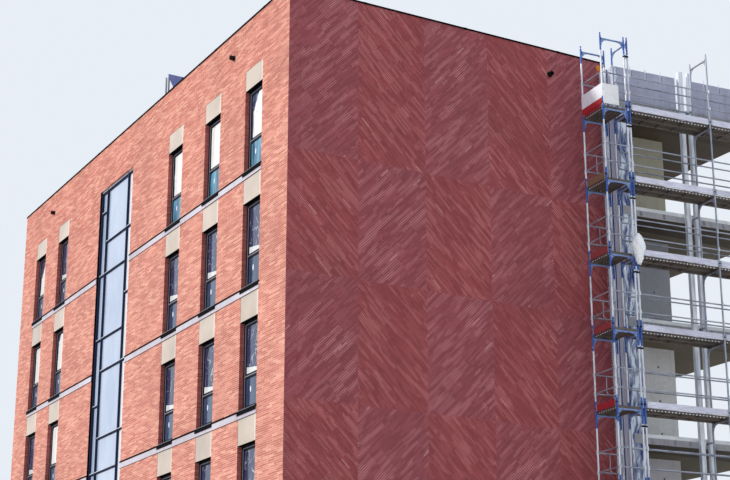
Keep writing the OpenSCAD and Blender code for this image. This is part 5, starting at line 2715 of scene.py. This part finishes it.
    def straps(self) -> Piece:
        """Models the steel straps at the toe boards' ends.

        Returns:
            The straps.
        """
        strap = Bench.box((0, -0.019, 0.0), (self.strap, 0.019, 0.164))
        Bench.bevel(Bench.inset(strap, Facing.FRONT, 0.008, -0.002), 0.002)
        half, places = self.tube / 2, []
        for z in (PLAN.lift(k) + self.deck_t for k in range(PLAN.lifts)):
            for a in self.runs[:2]:
                places += [shift(x, self.outer, z) for x in (a + half, a + half + self.clear - self.strap)]
            for b in (self.outer + half, self.end_far - half - self.strap):
                places.append(shift(self.end_left, b, z) @ turned(90.0))
        return Bench.repeat(strap, places)

    def build(self) -> None:
        """Builds the scaffold and dresses it."""
        half = self.tube / 2
        tube, steel = "tube_steel", "rail_steel"
        self.deliver(self.tubes(), "round_standards", tube, "", ["scaffold_standards"])
        self.deliver(self.collars(), "standard_collars", "coping_metal", tube)
        self.deliver(self.feet(), "base_jacks", steel, tube)
        self.deliver(self.lugs(), "rail_lugs", "galvanised", tube)
        replaced = ["scaffold_transoms", "scaffold_brackets"]
        self.deliver(self.frames(True), "deck_frames", "blue_paint", "", replaced)
        self.deliver(self.frames(False), "bare_deck_frames", steel, tube)
        self.deliver(self.decks(self.plank), "punched_planks", "deck_steel", "", ["scaffold_decks"])
        self.deliver(self.decks(self.dots), "plank_holes", "galvanised", "deck_steel")
        self.deliver(self.rails(), "guard_rails", steel, tube, ["scaffold_guard_rails"])
        self.deliver(self.hoops(), "rail_hoops", steel, tube)
        levels = [PLAN.lift(k) + self.deck_t for k in range(PLAN.lifts)]
        front = [shift(a + half, self.outer, z) for z in levels for a in self.runs[:2]]
        boards = self.toe_boards(self.clear, front)
        self.deliver(boards, "front_toe_boards", "toe_board", "", ["scaffold_toe_boards"])
        end = [shift(self.end_left, self.outer + half, z) @ turned(90.0) for z in levels]
        boards = self.toe_boards(self.end_far - self.outer - self.tube, end)
        self.deliver(boards, "end_toe_boards", "red_board", "toe_board")
        self.deliver(self.straps(), "toe_board_straps", steel, tube)


@dataclass
class ScaffoldExtras(Assembly):
    """The two bare boards at the top lift and the bundle in white film."""

    side = Side.WING
    corner: Span = (-1.15, -1.0)
    far: float = -0.04
    clear: float = 0.024
    board_end: float = -0.67
    board_z: float = 17.87
    board_h: float = 0.56
    thick: float = 0.012
    bundle: Place = (-0.42, -1.224, 13.47)
    bundle_h: float = 0.87
    bundle_d: float = 0.40
    folds: tuple[tuple[str, float, float], ...] = (
        ("film_folds", 0.16, 0.045), ("film_creases", 0.05, 0.020),
    )

    def board(self, low: Place, high: Place, direction: str) -> Piece:
        """Models one board with rounded corners and a slight warp.

        Args:
            low: Its lowest corner.
            high: Its highest corner.
            direction: The axis through its thickness, X or Y.

        Returns:
            The board.
        """
        board = Bench.box(low, high)
        Bench.select(board)
        bpy.ops.mesh.subdivide(number_cuts=5)
        bpy.ops.object.mode_set(mode="OBJECT")
        warp = {"strength": 0.010, "mid_level": 0.5, "direction": direction}
        return Bench.bevel(Bench.displace(board, "board_bow", "CLOUDS", 0.5, **warp), 0.002)

    def wrapped(self) -> Piece:
        """Models the bundle: a lofted bag, tied at both ends, with crumpled film.

        Returns:
            The bundle.
        """
        Bench.pick(None)
        bpy.ops.mesh.primitive_uv_sphere_add(segments=72, ring_count=60, radius=1.0)
        bag = bpy.context.object
        for vertex in bag.data.vertices:
            spot = vertex.co.copy()
            up = (spot.z + 1) / 2
            angle = math.atan2(spot.y, spot.x)
            belly = min(1.0, (math.sin(math.pi * min(1.0, 0.10 + 0.90 * up))) ** 0.45)
            taper = 0.34 + 0.66 * min(1.0, up / 0.55) ** 0.8
            pleat = 1 + 0.055 * math.sin(13 * angle + 6 * up) * max(0.0, 1 - up / 0.4)
            pleat += 0.03 * math.sin(9 * angle) * max(0.0, (up - 0.8) / 0.2)
            wide = self.bundle_d / 2 * 0.93 * min(belly, taper) * pleat
            height = self.bundle_h * (0.015 + 0.96 * up)
            vertex.co = (wide * math.cos(angle), wide * math.sin(angle), height)
        for name, size, strength in self.folds:
            Bench.displace(bag, name, "VORONOI", size, strength=strength, mid_level=0.75)
        Bench.smooth(bag, 38)
        bag.data.transform(shift(*self.bundle))
        return bag

    def build(self) -> None:
        """Builds both boards and the bundle."""
        foot, top = self.board_z, self.board_z + self.board_h
        left, front = self.corner
        end_x, front_y = left - self.clear - self.thick, front - self.clear - self.thick
        banner = self.board((end_x, front, foot), (end_x + self.thick, self.far, top), "X")
        high = (self.board_end, front_y + self.thick, top)
        plate = self.board((left, front_y, foot), high, "Y")
        self.deliver(banner, "end_board", "banner", "board_white", ["end_boards"])
        self.deliver(plate, "front_board", "board_white")
        bag = self.deliver(self.wrapped(), "film_bundle", "wrap_film", "", ["wrapped_bundle"])


@dataclass
class RoofDetails(Assembly):
    """Hooked brackets behind the window front's parapet."""

    hooks: tuple[float, ...] = (3.3, 4.2, 8.5, 10.7)
    back: float = 0.42

    def brackets(self) -> Piece:
        """Models the hooked brackets, each on a foot plate on the roof.

        Returns:
            The brackets.
        """
        foot, parts = PLAN.roof, []
        for index, y in enumerate(self.hooks):
            head = PLAN.wall_top + PLAN.coping + (0.30 + 0.05 * (index % 3))
            path = [(0, 0, foot), (0, 0, head - 0.05), (0, 0.02, head - 0.01)]
            path += [(0, 0.06, head), (0, 0.20, head)]
            bar = Bench.bent(path, 0.035)
            plate = Bench.bar((-0.07, -0.07, foot), (0.07, 0.07, foot + 0.012), 0.004)
            bracket = Bench.join([bar, plate])
            bracket.data.transform(shift(self.back - PLAN.width / 2, y - PLAN.depth / 2))
            parts.append(bracket)
        return Bench.smooth(Bench.join(parts))

    def build(self) -> None:
        """Builds the brackets."""
        self.deliver(self.brackets(), "roof_brackets", "galvanised")


@dataclass
class Studio:
    """Pale floor, soft light and the camera of the photograph."""

    eye: Place = (-23.4665, -42.4386, 1.558)
    yaw: float = 0.5136
    pitch: float = 0.2953
    focal_px: float = 1593.12
    frame_px: float = 730.0
    sensor: float = 36.0
    rise: float = 0.04
    reach: float = 500.0
    floor_size: float = 400.0
    key_strength: float = 2.25
    key_from: Place = (-0.80, 0.36, 0.52)
    key_spread: float = 6.0
    key_colour: Place = (1.0, 0.955, 0.89)
    fill: float = 0.80
    fill_colour: Colour = (0.81, 0.90, 1.0, 1.0)
    backdrop: Colour = tint(232, 238, 246)
    ground: Colour = tint(214, 214, 214)

    def camera(self) -> None:
        """Makes the camera and sets it."""
        data = bpy.data.cameras.new("photo_camera")
        data.sensor_width = self.sensor
        data.lens = self.focal_px * self.sensor / self.frame_px
        data.shift_y = self.rise
        data.clip_end = self.reach
        camera = bpy.data.objects.new("photo_camera", data)
        bpy.context.scene.collection.objects.link(camera)
        camera.location = self.eye
        camera.rotation_euler = (math.pi / 2 + self.pitch, 0.0, -self.yaw)
        bpy.context.scene.camera = camera

    def lamps(self) -> None:
        """Makes the key light and the world's even fill with a pale backdrop."""
        data = bpy.data.lights.new("key_light", "SUN")
        data.energy = self.key_strength
        data.angle = math.radians(self.key_spread)
        data.color = self.key_colour
        lamp = bpy.data.objects.new("key_light", data)
        lamp.rotation_euler = Vector(self.key_from).to_track_quat("Z", "Y").to_euler()
        bpy.context.scene.collection.objects.link(lamp)
        world = bpy.data.worlds.new("studio")
        world.use_nodes = True
        bpy.context.scene.world = world
        graph = Graph(world.node_tree)
        world.node_tree.nodes.clear()
        rays = graph.add("LightPath").outputs
        seen = graph.math("MAXIMUM", rays["Is Camera Ray"], rays["Is Glossy Ray"])
        seen = seen.most(rays["Is Transmission Ray"])
        light = graph.add("Background", {"Color": self.fill_colour, "Strength": self.fill})
        show = graph.add("Background", {"Color": self.backdrop, "Strength": 1.0})
        blend = graph.add("MixShader", {0: seen, 1: light.outputs[0], 2: show.outputs[0]})
        graph.add("OutputWorld", {"Surface": blend.outputs[0]})

    def floor(self) -> None:
        """Lays the pale floor under the block."""
        Bench.pick(None)
        bpy.ops.mesh.primitive_plane_add(size=self.floor_size, location=(0, 0, -0.002))
        floor = Bench.settle(bpy.context.object)
        floor.name = "studio_floor"
        material = bpy.data.materials.new("studio_floor")
        material.use_nodes = True
        shader = material.node_tree.nodes["Principled BSDF"]
        shader.inputs["Base Color"].default_value = self.ground
        shader.inputs["Roughness"].default_value = 0.9
        floor.data.materials.append(material)

    def build(self) -> None:
        """Sets up camera, lamps and floor."""
        self.camera()
        self.lamps()
        self.floor()
        bpy.context.scene.view_settings.view_transform = "Standard"


def main() -> None:
    """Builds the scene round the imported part."""
    logging.basicConfig(level=logging.INFO, format="%(message)s")
    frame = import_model()
    Studio().build()
    palette = Palette()
    dress_nodes(frame["nodes"], palette)
    WindowFrontBricks(palette).build()
    GableBricks(palette).build()
    RearCourses(palette).build()
    Windows(palette).build()
    WindowTrim(palette).build()
    Bands(palette).build()
    StairGlazing(palette).build()
    WallTop(palette).build()
    OpenWing(palette).build()
    Scaffold(palette).build()
    ScaffoldExtras(palette).build()
    RoofDetails(palette).build()


if __name__ == "__main__":
    main()
